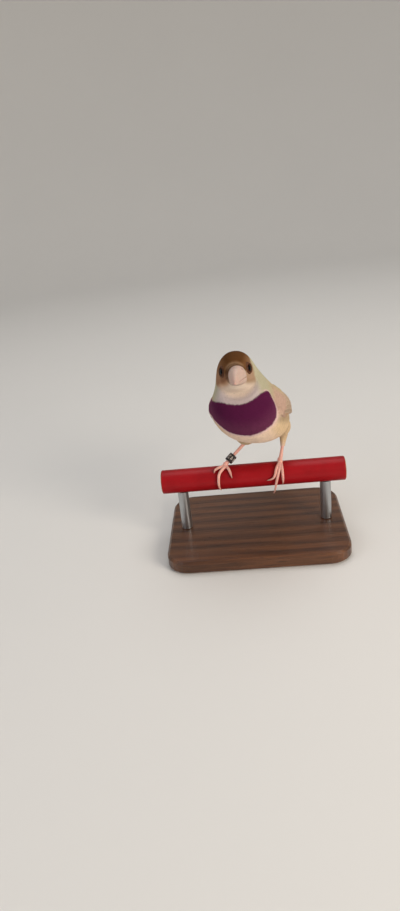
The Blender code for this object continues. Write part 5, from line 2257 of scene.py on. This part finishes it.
@dataclass(frozen=True)
class EnamelFinish:
    """A coated metal ring or its numbers: one colour, worn slightly at random."""

    name: str
    colour: str
    worn: str
    roughness: float = 0.35

    def make(self) -> Material:
        """Mixes the finish.

        Returns:
            The material.
        """
        paint = Paint(self.name, Specular_IOR_Level=0.5)
        wear = paint.noise(1400, 4, rough=0.6)
        colour = paint.mix(wear.rise(0.5, 0.78) * 0.6, self.colour, self.worn)
        paint.bump(wear, 0.2, 0.00004)
        return paint.feed(colour, wear * 0.25 + (self.roughness - 0.1))


@dataclass(frozen=True)
class BackdropFinish:
    """A plain pale floor with the faintest unevenness."""

    colour: str = "e4e2de"

    def make(self) -> Material:
        """Mixes the finish.

        Returns:
            The material.
        """
        paint = Paint("pale_floor", Specular_IOR_Level=0.2)
        cloud = paint.noise(6, 2)
        return paint.feed(paint.scaled(self.colour, cloud * 0.03 + 0.985), cloud * 0.1 + 0.7)


@dataclass
class Studio:
    """The pale floor, the soft lights and the camera."""

    floor_radius: float = 0.8
    bend_radius: float = 0.5
    wall_height: float = 1.2
    pitch: float = 24.4
    yaw: float = 5
    roll: float = 6.8
    focal_pixels: float = 640
    image_height: float = 911
    sensor: float = 36
    eye_point: tuple = (0.0001, -0.2644, 0.1634)
    lamps: tuple = (
        ("key", (0.56, -0.5, 0.33), 0.36, 4.1, "fff4e6"),
        ("fill", (-0.6, -0.4, 0.34), 0.6, 1.1, "f3f5ff"),
        ("top", (0.08, 0.22, 0.85), 0.7, 2.5, "ffffff"),
    )
    world: tuple = (0.56, 0.56, 0.57)
    world_strength: float = 0.56

    def floor(self) -> None:
        """A round floor that curves up to a low wall.

        Formula: a profile turned about the upright axis: flat, then a quarter circle.
        """
        bend = np.radians(np.linspace(0, 90, 16))[1:]
        flat = np.linspace(0.002, self.floor_radius, 14)
        curve = self.floor_radius + self.bend_radius * np.sin(bend)
        radius = np.concatenate([flat, curve, curve[-1:]])
        rise = self.bend_radius - self.bend_radius * np.cos(bend)
        height = np.concatenate([np.zeros(14), rise, [self.wall_height]])
        grid = turned(radius[:, None], height[:, None], 96) / MM - (0, 0, PERCH_HEIGHT)
        shape = Shape().grid(grid, flip=False, caps=(True, False))
        shape.build("floor", BackdropFinish().make())

    def lights(self) -> None:
        """Three soft area lamps aimed at the bird, and a pale even sky."""
        target = Vector((0, 0, 0.06))
        for name, place, size, power, code in self.lamps:
            data = bpy.data.lights.new(name, "AREA")
            data.shape, data.size, data.energy = "DISK", size, power
            data.color = linear(code)
            lamp = linked(name, data)
            lamp.location = place
            lamp.rotation_euler = (target - Vector(place)).to_track_quat("-Z", "Y").to_euler()
        world = bpy.data.worlds.new("sky")
        world.use_nodes = True
        world.node_tree.nodes["Background"].inputs[0].default_value = (*self.world, 1)
        world.node_tree.nodes["Background"].inputs[1].default_value = self.world_strength
        bpy.context.scene.world = world

    def camera(self) -> None:
        """The camera at the photograph's angle: slightly above, turned and rolled."""
        pitch, yaw, roll = (math.radians(value) for value in (self.pitch, self.yaw, self.roll))
        aside, ahead = math.sin(yaw) * math.cos(pitch), math.cos(yaw) * math.cos(pitch)
        forward = Vector((-aside, ahead, -math.sin(pitch)))
        level = Vector((math.cos(yaw), math.sin(yaw), 0))
        upright = level.cross(forward)
        right = math.cos(roll) * level - math.sin(roll) * upright
        up = math.sin(roll) * level + math.cos(roll) * upright
        data = bpy.data.cameras.new("camera")
        data.sensor_fit = "AUTO"
        data.sensor_width = self.sensor
        data.lens = self.focal_pixels * self.sensor / self.image_height
        data.clip_start, data.clip_end = 0.01, 20
        made = linked("camera", data)
        basis = Matrix((right, up, -forward)).transposed().to_4x4()
        made.matrix_world = Matrix.Translation(self.eye_point) @ basis
        bpy.context.scene.camera = made

    def build(self) -> None:
        """Sets the whole studio, with colours shown as they are."""
        self.camera()
        self.floor()
        self.lights()
        bpy.context.scene.view_settings.view_transform = "Standard"


def dress_node(name: str, finish: Material) -> None:
    """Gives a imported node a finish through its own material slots."""
    for slot in frame["nodes"][name].material_slots:
        slot.material = finish


def main() -> None:
    """Builds the bird, its perch and its stand, and the studio around them."""
    Studio().build()
    form = BodyForm()
    markings = Markings()
    plan = WingPlan(form)
    eyes = tuple(EyePlace(form, side) for side in Side)
    coat = Plumage(form, markings, plan, eyes)
    plumage, skin_finish, quills = PlumageFinish().make(), SkinFinish().make(), QuillFinish().make()
    narrow = 1.75, 0, 0.3, (0.62, 0.72, 0.9, 1.2, 1.25)
    thighs = [
        Thigh("thigh_right", (-1.2, 5, 15.4), (-1.5, -2.5, 23.5)),
        Thigh("thigh_left", (16.2, 6.6, 17.6), (12.3, -1.5, 25.4)),
        Thigh("heel_left", (14.8, 3, 13), (15.8, 5.9, 18.9), *narrow),
    ]
    skin = coat.skin(thighs, skin_finish)
    place_piece(skin, ("head", "neck", "torso", "thigh_left", "thigh_right"))
    shapes: dict[str, Shape] = {}
    coat.lay(lambda name: shapes.setdefault(name, Shape()))
    slots = {"coat_head": "mask", "coat_neck": "collar"}
    face = PlumageFinish("plumage_face", edge=0.06, tone=0.07, tip=0.03).make()
    for name, shape in shapes.items():
        place_piece(shape.build(name, face if name in slots else plumage))
    tree = BVHTree.FromObject(skin, bpy.context.evaluated_depsgraph_get())
    for thigh in thighs:
        place_piece(coat.trousers(thigh, tree).build("coat_" + thigh.name, plumage))
    lid_finish = BareSkinFinish("lid_skin", "664431", "38200f", 2600, 0.7, 0, 0.12).make()
    eye_finish = EyeFinish().make()
    for place in eyes:
        eye = Eye(place)
        eye.eyeball(eye_finish)
        eye.lids(lid_finish)
    Bill(form).build(HornFinish().make())
    for side in Side:
        FoldedWing(plan, side, markings.shoulder).build(quills, plumage)
    Tail(form).build(quills)
    leg_finish = BareSkinFinish("leg_skin", "edb5a6", "d49a8b", 1300, 0.42, 0.2).make()
    claw_finish = ClawFinish().make()
    for side in Side:
        Leg(side).build(leg_finish, claw_finish)
    dark = EnamelFinish("dark_enamel", "17100f", "3a2420").make()
    white = EnamelFinish("white_enamel", "c9bdb4", "8f827b").make()
    LegRing(Leg(Side.RIGHT)).build(dark, white)
    Perch().build(PaintedDowelFinish().make())
    dress_node("stand_base", StainedWoodFinish().make())
    steel = SteelFinish().make()
    for name in ("stand_rod_left", "stand_rod_right"):
        dress_node(name, steel)


if __name__ == "__main__":
    logging.basicConfig(level=logging.INFO, format="%(name)s: %(message)s")
    main()
